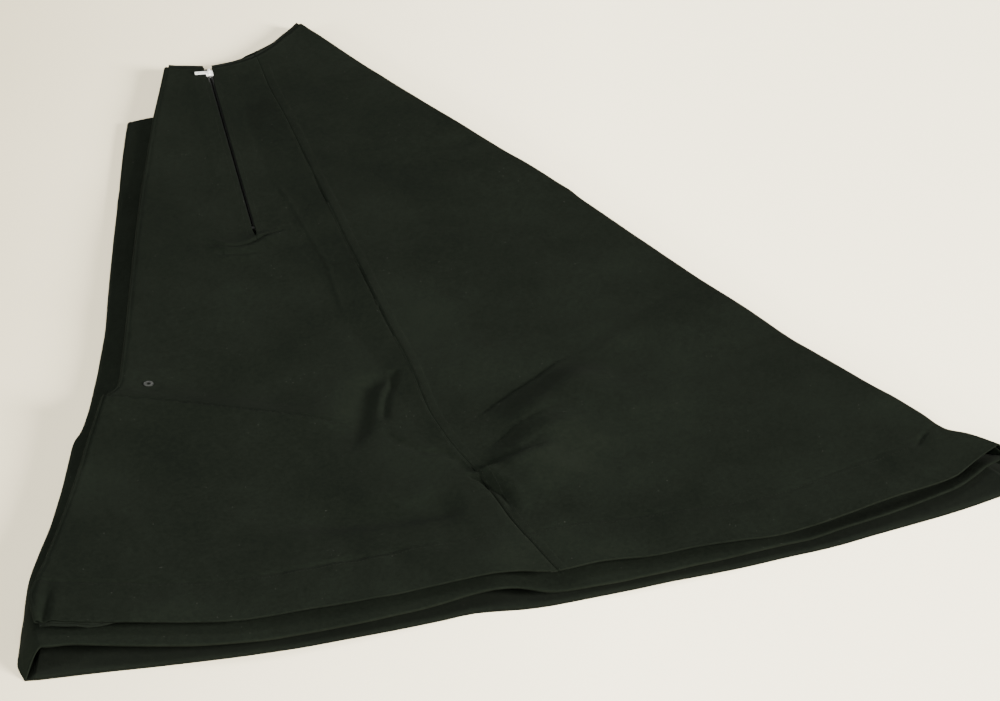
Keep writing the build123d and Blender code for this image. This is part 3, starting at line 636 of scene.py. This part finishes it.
# ==========================================================================================
# Materials
# ==========================================================================================
class Shader:
    """A material with a Principled shader, and short ways to add nodes to it."""

    def __init__(self, name):
        self.material = bpy.data.materials.new(name)
        self.material.use_nodes = True
        self.tree = self.material.node_tree
        self.tree.nodes.clear()
        output = self.node("ShaderNodeOutputMaterial")
        self.bsdf = self.node("ShaderNodeBsdfPrincipled")
        self.tree.links.new(self.bsdf.outputs[0], output.inputs[0])
        self.place = self.node("ShaderNodeTexCoord").outputs["Object"]

    def feed(self, node, inputs):
        """Set each input to a value, or link it when the value is a socket."""
        for key, value in inputs.items():
            if isinstance(value, bpy.types.NodeSocket):
                self.tree.links.new(value, node.inputs[key])
            else:
                node.inputs[key].default_value = value

    def node(self, kind, inputs=None, **properties):
        node = self.tree.nodes.new(kind)
        for key, value in properties.items():
            setattr(node, key, value)
        self.feed(node, inputs or {})
        return node

    def math(self, operation, *values):
        inputs = dict(enumerate(values))
        return self.node("ShaderNodeMath", inputs, operation=operation).outputs[0]

    def blend(self, a, share_a, b, share_b):
        """a * share_a + b * share_b"""
        return self.math("ADD", self.math("MULTIPLY", a, share_a),
                         self.math("MULTIPLY", b, share_b))

    def noise(self, scale, detail, roughness=0.5, output="Fac"):
        inputs = {"Vector": self.place, "Scale": scale, "Detail": detail,
                  "Roughness": roughness}
        return self.node("ShaderNodeTexNoise", inputs).outputs[output]

    def map_range(self, value, source, target=(0.0, 1.0)):
        inputs = {"Value": value, "From Min": source[0], "From Max": source[1],
                  "To Min": target[0], "To Max": target[1]}
        return self.node("ShaderNodeMapRange", inputs).outputs[0]

    def ramp(self, factor, low, high, span=(0.0, 1.0)):
        node = self.node("ShaderNodeValToRGB", {0: factor})
        for element, position, color in zip(node.color_ramp.elements, span, (low, high)):
            element.position = position
            element.color = (*color, 1)
        return node.outputs[0]

    def bump(self, height, strength, distance, **inputs):
        inputs.update(Height=height, Strength=strength, Distance=distance)
        return self.node("ShaderNodeBump", inputs).outputs[0]


def cloth_material(name, dark, light, sheen, thread_mm=0.9, bump=0.35, thread_angle=58.0,
                   lint=0.5, plain=False):
    """Woven cloth: ribs crossed by threads, blotchy colour, lint and a soft sheen."""
    s = Shader(name)
    turned = s.node("ShaderNodeMapping",
                    {"Vector": s.place, "Rotation": (0, 0, math.radians(thread_angle))})
    # a little waviness of the threads
    warp = s.node("ShaderNodeVectorMath",
                  {0: s.noise(scale=55.0, detail=2.0, output="Color"), "Scale": 0.0016},
                  operation="SCALE")
    wavy = s.node("ShaderNodeVectorMath", {0: turned.outputs[0], 1: warp.outputs[0]},
                  operation="ADD")
    axes = s.node("ShaderNodeSeparateXYZ", {0: wavy.outputs[0]}).outputs
    frequency = 2 * math.pi / (thread_mm * MM)
    cross_frequency = frequency * (1.0 if plain else 1.9)
    rib = s.math("SINE", s.math("MULTIPLY", axes[0], frequency))
    cross = s.math("SINE", s.math("MULTIPLY", axes[1], cross_frequency))
    ribs = s.math("ADD", s.math("MULTIPLY", rib, 0.6),
                  s.math("MULTIPLY", s.math("MULTIPLY", rib, cross), 0.4))
    fuzz = s.noise(scale=1400.0, detail=3.0, roughness=0.7)
    weave = s.blend(ribs, 0.5, fuzz, 0.8)
    crumple = s.noise(scale=120.0, detail=4.0, roughness=0.55)
    blotch = s.noise(scale=9.0, detail=4.0, roughness=0.6)
    mottle = s.blend(blotch, 0.62, s.noise(scale=260.0, detail=2.0), 0.38)
    color = s.ramp(mottle, dark, light, span=(0.36, 0.66))
    thread_shade = s.map_range(ribs, source=(-1.0, 1.0), target=(0.45, 1.25))
    shaded = s.node("ShaderNodeMix", {"Factor": 0.35, "A": color, "B": thread_shade},
                    data_type="RGBA", blend_type="MULTIPLY")
    # lint: sparse pale specks, in patches
    cells = s.node("ShaderNodeTexVoronoi",
                   {"Vector": s.place, "Scale": 170.0, "Randomness": 1.0}, feature="F1")
    specks = s.math("LESS_THAN", cells.outputs["Distance"], 0.07)
    patches = s.math("GREATER_THAN", s.noise(scale=37.0, detail=1.0), 0.62)
    specks = s.math("MULTIPLY", specks, patches)
    linted = s.node("ShaderNodeMix",
                    {"Factor": s.math("MULTIPLY", specks, 0.16 * lint),
                     "A": shaded.outputs["Result"], "B": (0.30, 0.30, 0.27, 1)},
                    data_type="RGBA", blend_type="MIX")
    woven = s.bump(weave, strength=bump, distance=0.00025)
    s.feed(s.bsdf, {
        "Base Color": linted.outputs["Result"],
        "Roughness": 0.92,
        "Specular IOR Level": 0.015,
        "Sheen Weight": sheen,
        "Sheen Roughness": 0.55,
        "Sheen Tint": (0.75, 0.80, 0.70, 1),
        "Normal": s.bump(crumple, strength=0.35, distance=0.0012, Normal=woven)})
    return s.material


def metal_material(name, color, roughness, wear, dark=(0.1, 0.1, 0.1), metallic=1.0):
    """Metal with uneven roughness, darkened in patches by wear."""
    s = Shader(name)
    grain = s.noise(scale=900.0, detail=4.0, roughness=0.65)
    patches = s.noise(scale=198.0, detail=2.0)
    worn = [c * (1 - wear) + d * wear for c, d in zip(color, dark)]
    s.feed(s.bsdf, {
        "Roughness": s.map_range(grain, source=(0.3, 0.7),
                                 target=(roughness * 0.7, roughness * 1.5)),
        "Base Color": s.ramp(patches, worn, color, span=(0.35, 0.62)),
        "Metallic": metallic,
        "Normal": s.bump(grain, strength=0.15, distance=0.00005)})
    return s.material


def table_material():
    """Pale table top with painted light falloff and shade: its colour is lighter towards the key
    light, warmer and darker away from it.
    """
    s = Shader("pale_table_painted_falloff")
    mottle = s.noise(scale=3.0, detail=3.0)
    axes = s.node("ShaderNodeSeparateXYZ", {0: s.place}).outputs
    # painted shade: the base colour ramps from light on the camera's right, towards the key light,
    # to darker and warmer on its left
    side = s.math("ADD", s.blend(axes[0], 0.8, axes[1], -0.6), s.math("MULTIPLY", mottle, 0.10))
    painted_shade = s.map_range(side, source=(-0.45, 0.35))
    s.feed(s.bsdf, {
        "Base Color": s.ramp(painted_shade, (0.40, 0.345, 0.225), (0.96, 0.875, 0.64)),
        "Roughness": 0.45,
        "Specular IOR Level": 0.3})
    return s.material


CLOTH = cloth_material("outer_cloth_twill", dark=(0.00225, 0.0031, 0.0020),
                       light=(0.0041, 0.0054, 0.0036), sheen=0.003)
LINING = cloth_material("lining_plain_weave", dark=(0.0026, 0.0034, 0.0024),
                        light=(0.0038, 0.0048, 0.0033), sheen=0.004, thread_mm=0.55,
                        bump=0.25, plain=True, lint=0.2)
BINDING = cloth_material("binding_tape", dark=(0.0040, 0.0048, 0.0036),
                         light=(0.0064, 0.0076, 0.0056), sheen=0.006, thread_mm=0.7,
                         bump=0.4, thread_angle=27.0, plain=True)
ZIP_TAPE = cloth_material("zip_tape_ribbed", dark=(0.0028, 0.0033, 0.0026),
                          light=(0.0044, 0.0050, 0.0040), sheen=0.004, thread_mm=1.1,
                          bump=0.5, thread_angle=63.0, lint=0.1)
THREAD = cloth_material("thread", dark=(0.0036, 0.0044, 0.0031),
                        light=(0.0062, 0.0074, 0.0052), sheen=0.01, thread_mm=0.3,
                        bump=0.3, lint=0.0)
NICKEL = metal_material("nickel_bright", color=(0.93, 0.93, 0.90), roughness=0.34,
                        wear=0.15, metallic=0.55)
EYELET_METAL = metal_material("nickel_dull", color=(0.13, 0.135, 0.12), roughness=0.30,
                              wear=0.7)
TEETH_METAL = metal_material("oxidised_teeth", color=(0.022, 0.0215, 0.020), roughness=0.42,
                             wear=0.5, dark=(0.02, 0.02, 0.02))
LINED = (CLOTH, LINING)


# ==========================================================================================
# Leaves
# ==========================================================================================
def top_side_leaf():
    """Side panel of the top leaf, with the zip slit and the side fold's rounded edge."""
    shares = row_shares(count(430))
    n_inner = count(84)                                  # columns from the seam to the slit
    columns = np.r_[np.linspace(0, 1, n_inner), np.linspace(2, 3, count(100))]
    bulge = 3.4

    def angle_of(column, radius):
        half = np.degrees(slit_half(zip_u(radius)) / radius)
        inner_lip, outer_lip = zip_angle(radius) - half, zip_angle(radius) + half
        start, end = seam(radius), side_top(radius) - np.degrees(bulge / radius)
        inner = spread(np.clip(column, 0, 1), np.radians(np.abs(inner_lip - start)) * radius,
                       9, 0.12, 5, 0.07)
        outer = spread(np.clip(column - 2, 0, 1), np.radians(np.abs(end - outer_lip)) * radius,
                       5, 0.06, 6, 0.06)
        return np.where(column < 1.5, start + (inner_lip - start) * inner,
                        outer_lip + (end - outer_lip) * outer)

    radius, x, y = leaf_grid(shares, columns, angle_of, neck_top, hem_top)
    z = z_top(x, y)
    # half ellipse from the leaf's edge down to the upper back leaf
    nx, ny = edge_normal(x[:, -1], y[:, -1])
    z_end = z_upper_back(x[:, -1], y[:, -1]) - 1.3 * MM
    turn = np.linspace(0, math.pi, 11)[None, :]
    out = bulge * MM * np.sin(turn)
    fold_x = x[:, -1:] + nx[:, None] * out
    fold_y = y[:, -1:] + ny[:, None] * out
    middle, half_height = (z[:, -1] + z_end) / 2, (z[:, -1] - z_end) / 2
    fold_z = middle[:, None] + half_height[:, None] * np.cos(turn)
    # ease the last columns down into the fold; each uses the edge as already lowered
    for column, drop in ((-1, 0.10), (-2, 0.05), (-3, 0.02)):
        z[:, column] -= drop * (z[:, -1] - z_end)

    in_slit = zip_u(radius[:, n_inner - 1]) < ZIP_SLIT
    return sheet("top_leaf_side_cloth", np.hstack([x, fold_x[:, 1:]]),
                 np.hstack([y, fold_y[:, 1:]]), np.hstack([z, fold_z[:, 1:]]), LINED,
                 skip=lambda i, j: j == n_inner - 1 and in_slit[i + 1])


def top_centre_leaf():
    """Centre panel of the top leaf, turned down at the centre fold.

    Returns the object, its row shares, the lower edge (x, y, z) and the outward normal there.
    """
    shares = row_shares(count(430))
    bulge = 5.0

    def angle_of(column, radius):
        fold = fold_edge(radius) + np.degrees(bulge / radius)
        width = np.radians(seam(radius) - fold) * radius
        return fold + (seam(radius) - fold) * spread(column, width, 6, 0.03, 14, 0.07)

    _, x, y = leaf_grid(shares, np.linspace(0, 1, count(190)), angle_of, neck_top, hem_top)
    z = z_top(x, y)
    nx, ny = edge_normal(x[:, 0], y[:, 0])
    nx, ny = -nx, -ny
    # the sheet turns down to about a third of its height above the fold axis
    axis_z = fold_axis_z(y[:, 0])
    z_end = axis_z + 0.34 * (z[:, 0] - axis_z)
    turn = np.linspace(0, math.pi / 2 * 0.80, 8)
    height = (z[:, 0] - z_end) / (1 - math.cos(turn[-1]))
    out = bulge * MM * np.sin(turn)[None, :]
    turn_x = x[:, :1] + nx[:, None] * out
    turn_y = y[:, :1] + ny[:, None] * out
    turn_z = z[:, :1] - height[:, None] * (1 - np.cos(turn))[None, :]
    ob = sheet("top_leaf_centre_cloth", np.hstack([turn_x[:, :0:-1], x]),
               np.hstack([turn_y[:, :0:-1], y]), np.hstack([turn_z[:, :0:-1], z]), LINED)
    return ob, shares, (turn_x[:, -1], turn_y[:, -1], turn_z[:, -1]), (nx, ny)


def upper_back_leaf():
    """Returns the object, its row shares and its edge (x, y, z) at the centre fold."""
    shares = row_shares(count(150))

    def angle_of(column, radius):
        start = fold_edge(radius) + np.degrees(5.7 / radius)
        end = side_top(radius) - np.degrees(4.0 / radius)
        return start + (end - start) * column

    _, x, y = leaf_grid(shares, np.linspace(0, 1, count(90)), angle_of,
                        neck_upper_back, hem_upper_back)
    z = z_upper_back(x, y)
    ob = sheet("upper_back_leaf_cloth", x, y, z, (LINING, CLOTH), thickness=0.9)
    return ob, shares, (x[:, 0], y[:, 0], z[:, 0])


def lower_half_leaves():
    """Lower front leaf, side fold and lower back leaf in one sheet.

    Returns the object, its row shares, and at the centre fold the front leaf's edge (x, y, z)
    and the back leaf's edge (x, y).
    """
    shares = row_shares(count(190))
    bulge = 4.5
    n_turn = 13

    def front_angle(column, radius):
        start = fold_edge(radius) + np.degrees(5.5 / radius)
        corner = np.interp(radius, [1180, 1215, 1245, 1275, 1304, 1330],
                           [0, 0.04, 0.22, 0.52, 0.92, 1.1])
        end = side_lower(np.minimum(radius, 1290)) - np.degrees(bulge / radius) - corner
        return start + (end - start) * column

    def back_angle(column, radius):
        start = fold_edge(radius) + np.degrees(7.0 / radius)
        end = side_lower(radius) - np.degrees(bulge / radius)
        return start + (end - start) * column

    radius, front_x, front_y = leaf_grid(shares, np.linspace(0, 1, count(90)) ** 0.8,
                                         front_angle, neck_lower, hem_lower_front)
    front_z = z_lower_front(front_x, front_y)
    _, back_x, back_y = leaf_grid(shares, np.linspace(1, 0, count(70)), back_angle,
                                  neck_lower, hem_lower_back)
    back_z = np.full(back_x.shape, Z_TABLE + 0.12 * MM)  # outer surface, on the table
    nx, ny = edge_normal(front_x[:, -1], front_y[:, -1])
    height = front_z[:, -1] - back_z[:, 0]
    flare = np.interp(radius[:, -1], [380, 1150, 1250, 1285, 1304], [0, 0, 1.5, -2.6, -4.3])
    turn = []
    for t in np.linspace(0, math.pi, n_turn)[1:-1]:
        s = 0.5 * (1 - math.cos(t))
        out = np.sin(t) * bulge * MM + np.sin(t) * s * flare * MM
        turn.append((front_x[:, -1] * (1 - s) + back_x[:, 0] * s + nx * out,
                     front_y[:, -1] * (1 - s) + back_y[:, 0] * s + ny * out,
                     front_z[:, -1] - height * s))
    turn_x, turn_y, turn_z = np.array(turn).transpose(1, 2, 0)
    ob = sheet("lower_half_cloth", np.hstack([front_x, turn_x, back_x]),
               np.hstack([front_y, turn_y, back_y]), np.hstack([front_z, turn_z, back_z]),
               LINED, thickness=1.25)
    # normals point out of the folded sheet: up on the front leaf
    if ob.data.polygons[10].normal.z < 0:
        ob.data.flip_normals()
    front_edge = (front_x[:, 0], front_y[:, 0], front_z[:, 0])
    return ob, shares, front_edge, (back_x[:, -1], back_y[:, -1])


def outer_fold_wrap(top_shares, top_edge, normal, lower_shares, back_edge):
    """Cloth from the top leaf round the centre fold to the lower back leaf."""
    low_x, low_y = [np.interp(top_shares, lower_shares, line) + n * 6.8 * MM
                    for line, n in zip(back_edge, normal)]
    top_x, top_y, top_z = top_edge
    z_low = Z_TABLE + 1.0 * MM
    side_share = 0.6            # columns on the rounded side; the rest tuck in over the leaf
    n_columns = 18
    x, y, z = np.zeros((3, len(top_x), n_columns))
    for column, s in enumerate(np.linspace(0, 1, n_columns)):
        q = min(s / side_share, 1.0)
        mix = q * q * (3 - 2 * q)
        if s < side_share:
            z[:, column] = top_z + (z_low + 1.2 * MM - top_z) * q
            out = (0.10 + 0.9 * math.sin(q * math.pi)) * 1.1 * MM
        else:
            p = (s - side_share) / 0.4
            z[:, column] = z_low + 1.2 * MM * (1 - p) ** 2
            out = -(p ** 1.4) * 11 * MM
        x[:, column] = top_x * (1 - mix) + low_x * mix + normal[0] * (out - 0.11 * MM)
        y[:, column] = top_y * (1 - mix) + low_y * mix + normal[1] * (out - 0.11 * MM)
    return sheet("centre_fold_outer_wrap", x, y, z, LINED)


def inner_fold_wrap(front_edge, upper_shares, upper_edge):
    """Cloth round the centre fold from the lower front leaf to the upper back leaf."""
    low_x, low_y, low_z = front_edge
    even = np.linspace(0, 1, len(low_x))
    high_x, high_y, high_z = [np.interp(even, upper_shares, line) for line in upper_edge]
    nx, ny = edge_normal(low_x, low_y)
    wrap = []
    for t in np.linspace(0, math.pi, 11):
        s = 0.5 * (1 - math.cos(t))
        out = np.sin(t) * 1.9 * MM
        wrap.append((low_x * (1 - s) + high_x * s - nx * out,
                     low_y * (1 - s) + high_y * s - ny * out,
                     low_z * (1 - s) + high_z * s))
    x, y, z = np.array(wrap).transpose(1, 2, 0)
    return sheet("centre_fold_inner_wrap", x, y, z, (LINING, CLOTH), thickness=0.8)


top_side = top_side_leaf()
register(top_side,
         ("upper_front_side_panel", "upper_front_side_lining", "upper_side_fold"))
top_centre, top_shares, top_edge, fold_normal = top_centre_leaf()
register(top_centre, ("upper_front_centre_panel", "upper_front_centre_lining"))
upper_back, upper_shares, upper_edge = upper_back_leaf()
register(upper_back, (
    "upper_back_side_panel", "upper_back_side_lining",
    "upper_back_centre_panel", "upper_back_centre_lining"))
lower_half, lower_shares, front_edge, back_edge = lower_half_leaves()
register(lower_half, (
    "lower_front_side_panel", "lower_front_side_lining",
    "lower_front_centre_panel", "lower_front_centre_lining",
    "lower_back_side_panel", "lower_back_side_lining",
    "lower_back_centre_panel", "lower_back_centre_lining", "lower_side_fold"))
outer_wrap = outer_fold_wrap(top_shares, top_edge, fold_normal, lower_shares, back_edge)
register(outer_wrap, ("outer_centre_fold_lower", "outer_centre_fold_upper"))
inner_wrap = inner_fold_wrap(front_edge, upper_shares, upper_edge)
register(inner_wrap)


# ==========================================================================================
# Hems, bindings and seam tapes. A strip with a positive lift lies on a leaf and thickens
# upwards; one with a negative lift lies under it and thickens downwards.
# ==========================================================================================
def end_strip(name, surface, edge, angles, insets, lift, thickness, counts, material):
    """A strip along the end of a leaf; insets are mm from the edge towards the apex."""
    angle, inset = np.meshgrid(np.linspace(*angles, counts[0]), np.linspace(*insets, counts[1]),
                               indexing="ij")
    x, y = plan_point(edge(angle) - inset, angle)
    return sheet(name, x, y, surface(x, y) + lift * MM, (material,), thickness, down=lift < 0)


def hem_strips():
    seam_end = float(seam(1250))
    # name, surface, hem, angles, first inset, lift, thickness, columns, body, replaced part
    for name, surface, hem, angles, inset, lift, thickness, columns, body, replaced in (
            ("top_leaf_side_hem", z_top, hem_top, (LIFT_ANGLE + 1.2, seam_end + 0.02),
             0.4, -0.95, 0.7, 18, "lid_side", "upper_front_side_hem_facing"),
            ("top_leaf_centre_hem", z_top, hem_top, (seam_end - 0.02, 0.35),
             0.4, -0.95, 0.7, 18, "lid_centre", "upper_front_centre_hem_facing"),
            ("upper_back_leaf_hem", z_upper_back, hem_upper_back, (39.05, 0.4),
             3.0, 0.05, 0.6, 10, "upper_base", "upper_back_hem_facing"),
            ("lower_front_leaf_hem", z_lower_front, hem_lower_front, (39.15, 0.3),
             0.4, -1.3, 0.6, 10, "lower_half", "lower_front_hem_facing"),
            ("lower_back_leaf_hem", z_lower_back, hem_lower_back, (39.45, -0.3),
             0.4, 0.05, 0.6, 10, "lower_half", "lower_back_hem_facing")):
        ob = end_strip(name, surface, hem, angles, (inset, 61), lift, thickness,
                       (count(260), columns), LINING)
        register(ob, (replaced,), body)


def neck_strips():
    zip_end = float(zip_angle(292.0))
    gap = math.degrees(4.3 / 290)                        # clear of the zip on either side
    seam_end = float(seam(280))
    # name, surface, neck, angles, last inset, lift, rows, body, replaced parts
    for name, surface, neck, angles, inset, lift, n_rows, body, replaced in (
            ("top_neck_binding_outer", z_top, neck_top, (side_top(285) - 0.9, zip_end + gap),
             6.0, -0.95, 60, "lid_side", ("upper_front_side_neck_binding",)),
            ("top_neck_binding_inner", z_top, neck_top, (zip_end - gap, seam_end + 0.1),
             6.0, -0.95, 60, "lid_side", ()),
            ("top_neck_binding_centre", z_top, neck_top,
             (seam_end - 0.1, float(fold_edge(230)) + 1.3),
             6.0, -0.95, 90, "lid_centre", ("upper_front_centre_neck_binding",)),
            ("upper_back_leaf_neck_tape", z_upper_back, neck_upper_back, (36.0, 3.0),
             -6.0, 0.05, 80, "upper_base", ("upper_back_neck_binding",)),
            ("lower_front_leaf_neck_tape", z_lower_front, neck_lower, (39.5, 3.0),
             -6.0, -1.3, 80, "lower_half", ("lower_front_neck_binding",)),
            ("lower_back_leaf_neck_tape", z_lower_back, neck_lower, (39.5, 3.0),
             -6.0, 0.05, 80, "lower_half", ("lower_back_neck_binding",))):
        ob = end_strip(name, surface, neck, angles, (0.3, inset), lift, 0.4, (n_rows, 5), BINDING)
        register(ob, replaced, body)


def seam_strips():
    """Tapes along the seam line of each leaf, bowed by a crown height across their width."""
    half_width = 6
    across = np.linspace(-half_width, half_width, 9)[None, :]
    arch = np.sqrt(np.clip(1 - (across / half_width) ** 2, 0, 1))
    # name, surface, radii, lift, crown, rows, body, replaced part
    for name, surface, radii, lift, crown, n_rows, body, replaced in (
            ("top_leaf_seam_binding", z_top,
             (float(neck_top(18.4)) + 1.0, float(hem_top(19.3)) - 0.6),
             -1.0, -0.1, count(420), "lid_side", "upper_front_seam_binding"),
            ("upper_back_leaf_seam_tape", z_upper_back, (300, 1200),
             0.05, 0.2, 260, "upper_base", "upper_back_seam_binding"),
            ("lower_front_leaf_seam_tape", z_lower_front, (330, 1200),
             -1.35, -0.1, 260, "lower_half", "lower_front_seam_binding"),
            ("lower_back_leaf_seam_tape", z_lower_back, (330, 1200),
             0.05, 0.2, 260, "lower_half", "lower_back_seam_binding")):
        radius = np.linspace(*radii, n_rows)
        seam_x, seam_y = plan_point(radius, seam(radius))
        nx, ny = edge_normal(seam_x, seam_y)
        x = seam_x[:, None] + nx[:, None] * across * MM
        y = seam_y[:, None] + ny[:, None] * across * MM
        z = surface(x, y) + (lift + crown * arch) * MM
        ob = sheet(name, x, y, z, (BINDING,), 0.35, down=lift < 0)
        register(ob, (replaced,), body)


hem_strips()
neck_strips()
seam_strips()


# ==========================================================================================
# Stitching: short raised stitches along the sewn lines of the top leaf
# ==========================================================================================
STITCH_STEP, STITCH_LENGTH = 3.3, 2.3                    # mm
STITCH_HALF_WIDTH, STITCH_HEIGHT = 0.26, 0.20


def stitch_ends(x, y):
    """Rows of x0, y0, x1, y1: the ends of stitches spaced evenly along a line in metres."""
    s = np.r_[0, np.cumsum(np.hypot(np.diff(x), np.diff(y)))]
    half_step = STITCH_STEP / 2 * MM
    middle = np.arange(half_step, s[-1] - half_step, STITCH_STEP * MM)
    start, end = middle - STITCH_LENGTH / 2 * MM, middle + STITCH_LENGTH / 2 * MM
    return np.c_[np.interp(start, s, x), np.interp(start, s, y),
                 np.interp(end, s, x), np.interp(end, s, y)]


def stitches(name, lines, body):
    """Each stitch is three diamond sections, wide and high in the middle, capped at the ends."""
    vertices, faces = [], []
    for x0, y0, x1, y1 in np.vstack([stitch_ends(x, y) for x, y in lines]):
        dx, dy = x1 - x0, y1 - y0
        length = math.hypot(dx, dy)
        nx = -dy / length * STITCH_HALF_WIDTH * MM
        ny = dx / length * STITCH_HALF_WIDTH * MM
        first = len(vertices)
        for share, width, height in ((0.0, 0.35, 0.2), (0.5, 1.0, 1.0), (1.0, 0.35, 0.2)):
            cx, cy = x0 + dx * share, y0 + dy * share
            vertices += [(cx - nx * width, cy - ny * width, 0.0),
                         (cx, cy, STITCH_HEIGHT * height),
                         (cx + nx * width, cy + ny * width, 0.0), (cx, cy, -0.3)]
        for i in (first, first + 4):
            for j in range(4):
                k = (j + 1) % 4
                faces.append((i + j, i + k, i + 4 + k, i + 4 + j))
        faces.append((first + 3, first + 2, first + 1, first))
        faces.append((first + 8, first + 9, first + 10, first + 11))
    vertices = np.array(vertices)
    vertices[:, 2] = z_top(vertices[:, 0], vertices[:, 1]) + vertices[:, 2] * MM
    ob = make_object(name, vertices, faces)
    ob.data.materials.append(THREAD)
    register(ob, body=body)


def along_hem(start, end):
    angle = np.linspace(start, end, 400)
    return plan_point(hem_top(angle) - 58.5, angle)


def along_neck(start, end):
    angle = np.linspace(start, end, 150)
    return plan_point(neck_top(angle) + 4.6, angle)


def along_seam(start, end, offset):
    """A line beside the seam between two radii; offset in mm, positive towards the side fold."""
    radius = np.linspace(start, end, 500)
    x, y = plan_point(radius, seam(radius))
    nx, ny = edge_normal(x, y)
    return x + nx * offset * MM, y + ny * offset * MM


def top_leaf_stitching():
    hem_seam, neck_seam = float(seam(1200)), float(seam(285))
    neck_zip = float(zip_angle(292))
    beside_zip = 6.6
    zip_run = np.linspace(6, 347, 200)
    stitches("top_leaf_side_stitching", [
        along_hem(LIFT_ANGLE + 1.3, hem_seam + 0.25),
        along_seam(300, 1255, 1.9),
        zip_point(zip_run, beside_zip),
        zip_point(zip_run, -beside_zip),
        zip_point(349, np.array([-beside_zip, 0, beside_zip])),
        along_neck(36.2, neck_zip + 1.6),
        along_neck(neck_zip - 1.6, neck_seam + 0.5)], "lid_side")
    stitches("top_leaf_centre_stitching", [
        along_hem(hem_seam - 0.25, 1.2),
        along_seam(290, 1255, -2.2),
        along_seam(290, 1255, -8.6),
        along_neck(neck_seam - 0.5, 3.4)], "lid_centre")


top_leaf_stitching()


# ==========================================================================================
# How the leaves follow the joints: the upper back leaf and the lower half ride their bodies; the
# top leaf and the fold wraps only have their transforms baked
# ==========================================================================================
def attach_leaves():
    # across the side fold hinge in plan, towards the centre fold (+X)
    inward = np.array([LIFT_AXIS[1], -LIFT_AXIS[0], 0.0])
    inward /= np.linalg.norm(inward)
    if inward[0] < 0:
        inward = -inward
    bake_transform(top_side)
    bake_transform(top_centre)
    # square to the centre fold, upwards
    up = np.cross([1.0, 0, 0], FOLD_AXIS)
    up /= np.linalg.norm(up)
    if up[2] < 0:
        up = -up
    for wrap, reach in ((outer_wrap, 1.9), (inner_wrap, 0.5)):
        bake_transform(wrap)
    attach(upper_back, "upper_base")
    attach(lower_half, "lower_half")


attach_leaves()


# ==========================================================================================
# Hardware: the model's own parts, with finished materials and softened edges
# ==========================================================================================
def finish_part(node, material, bevel):
    ob = frame["nodes"][node]
    ob.data.materials.clear()
    ob.data.materials.append(material)
    for polygon in ob.data.polygons:
        polygon.material_index = 0
    if bevel:
        width, segments, angle = bevel
        modifier = ob.modifiers.new("soft_edges", "BEVEL")
        modifier.width = width * MM
        modifier.segments = segments
        modifier.limit_method = "ANGLE"
        modifier.angle_limit = math.radians(angle)


# parts, material, slot, bevel as (width in mm, segments, least angle in degrees)
for nodes, material, slot, bevel in (
        (("zip_slider", "zip_pull_tab"), NICKEL, "zip_metal", (0.22, 3, 35)),
        (("eyelet_barrel", "eyelet_washer"), EYELET_METAL, "eyelet_metal", (0.22, 3, 50)),
        (("zip_teeth_left", "zip_teeth_right", "zip_top_stops", "zip_bottom_stop"),
         TEETH_METAL, "zip_teeth", (0.12, 2, 35)),
        (("zip_tape_left", "zip_tape_right"), ZIP_TAPE, "zip_tape", None),
        (("zip_facing",), LINING, "lining", None)):
    for node in nodes:
        finish_part(node, material, bevel)

# ==========================================================================================
# Floor, lights, world and camera
# ==========================================================================================
CENTRE = Vector(((CAD_LO.x + CAD_HI.x) / 2, (CAD_LO.y + CAD_HI.y) / 2, Z_TABLE))
VIEW_AZIMUTH, VIEW_ELEVATION = math.radians(-36.79), math.radians(31.08)


def add_object(name, data):
    ob = bpy.data.objects.new(name, data)
    bpy.context.scene.collection.objects.link(ob)
    return ob


def add_floor():
    material = table_material()
    mesh = bpy.data.meshes.new("pale_floor")
    half = 7.0
    corners = [(-half, -half), (half, -half), (half, half), (-half, half)]
    mesh.from_pydata([(x, y, Z_TABLE) for x, y in corners], [], [(0, 1, 2, 3)])
    floor = add_object("pale_floor", mesh)
    mesh.materials.append(material)


def add_light(name, right, away, up, diameter, energy, color):
    """A disk light aimed at the bag; metres to the camera's right, away from it, and up."""
    c, s = math.cos(VIEW_AZIMUTH), math.sin(VIEW_AZIMUTH)
    data = bpy.data.lights.new(name, "AREA")
    data.shape = "DISK"
    data.size = diameter
    data.energy = energy
    data.color = color
    light = add_object(name, data)
    location = CENTRE + Vector((right * c - away * s, right * s + away * c, up))
    light.location = location
    light.rotation_mode = "QUATERNION"
    light.rotation_quaternion = (location - CENTRE).to_track_quat("Z", "Y")


def add_world():
    world = bpy.data.worlds.new("soft")
    world.use_nodes = True
    background = world.node_tree.nodes["Background"]
    background.inputs["Color"].default_value = (0.98, 0.985, 1.0, 1)
    background.inputs["Strength"].default_value = 0.42
    bpy.context.scene.world = world


def add_camera():
    data = bpy.data.cameras.new("camera")
    camera = add_object("camera", data)
    data.sensor_width = 36.0
    data.lens = 216.0
    data.clip_start, data.clip_end = 0.1, 60
    camera.location = (APEX[0] - 2.9859, APEX[1] - 4.5351, Z_TABLE + 2.78775)
    level = math.cos(VIEW_ELEVATION)
    direction = Vector((-math.sin(VIEW_AZIMUTH) * level, math.cos(VIEW_AZIMUTH) * level,
                        -math.sin(VIEW_ELEVATION)))
    camera.rotation_mode = "QUATERNION"
    camera.rotation_quaternion = direction.to_track_quat("-Z", "Y")
    bpy.context.scene.camera = camera


NEUTRAL = (1.0, 0.99, 0.97)
add_floor()
add_light("key", right=6.6, away=-3.2, up=2.5, diameter=2.4, energy=4000,
          color=(1.0, 0.975, 0.93))
add_light("top", right=0.2, away=0.9, up=3.4, diameter=2.0, energy=135, color=NEUTRAL)
add_light("fill", right=-0.6, away=-4.0, up=2.3, diameter=1.2, energy=310, color=NEUTRAL)
add_light("side_fill", right=-3.4, away=-1.9, up=1.1, diameter=1.0, energy=310, color=NEUTRAL)
add_world()
add_camera()
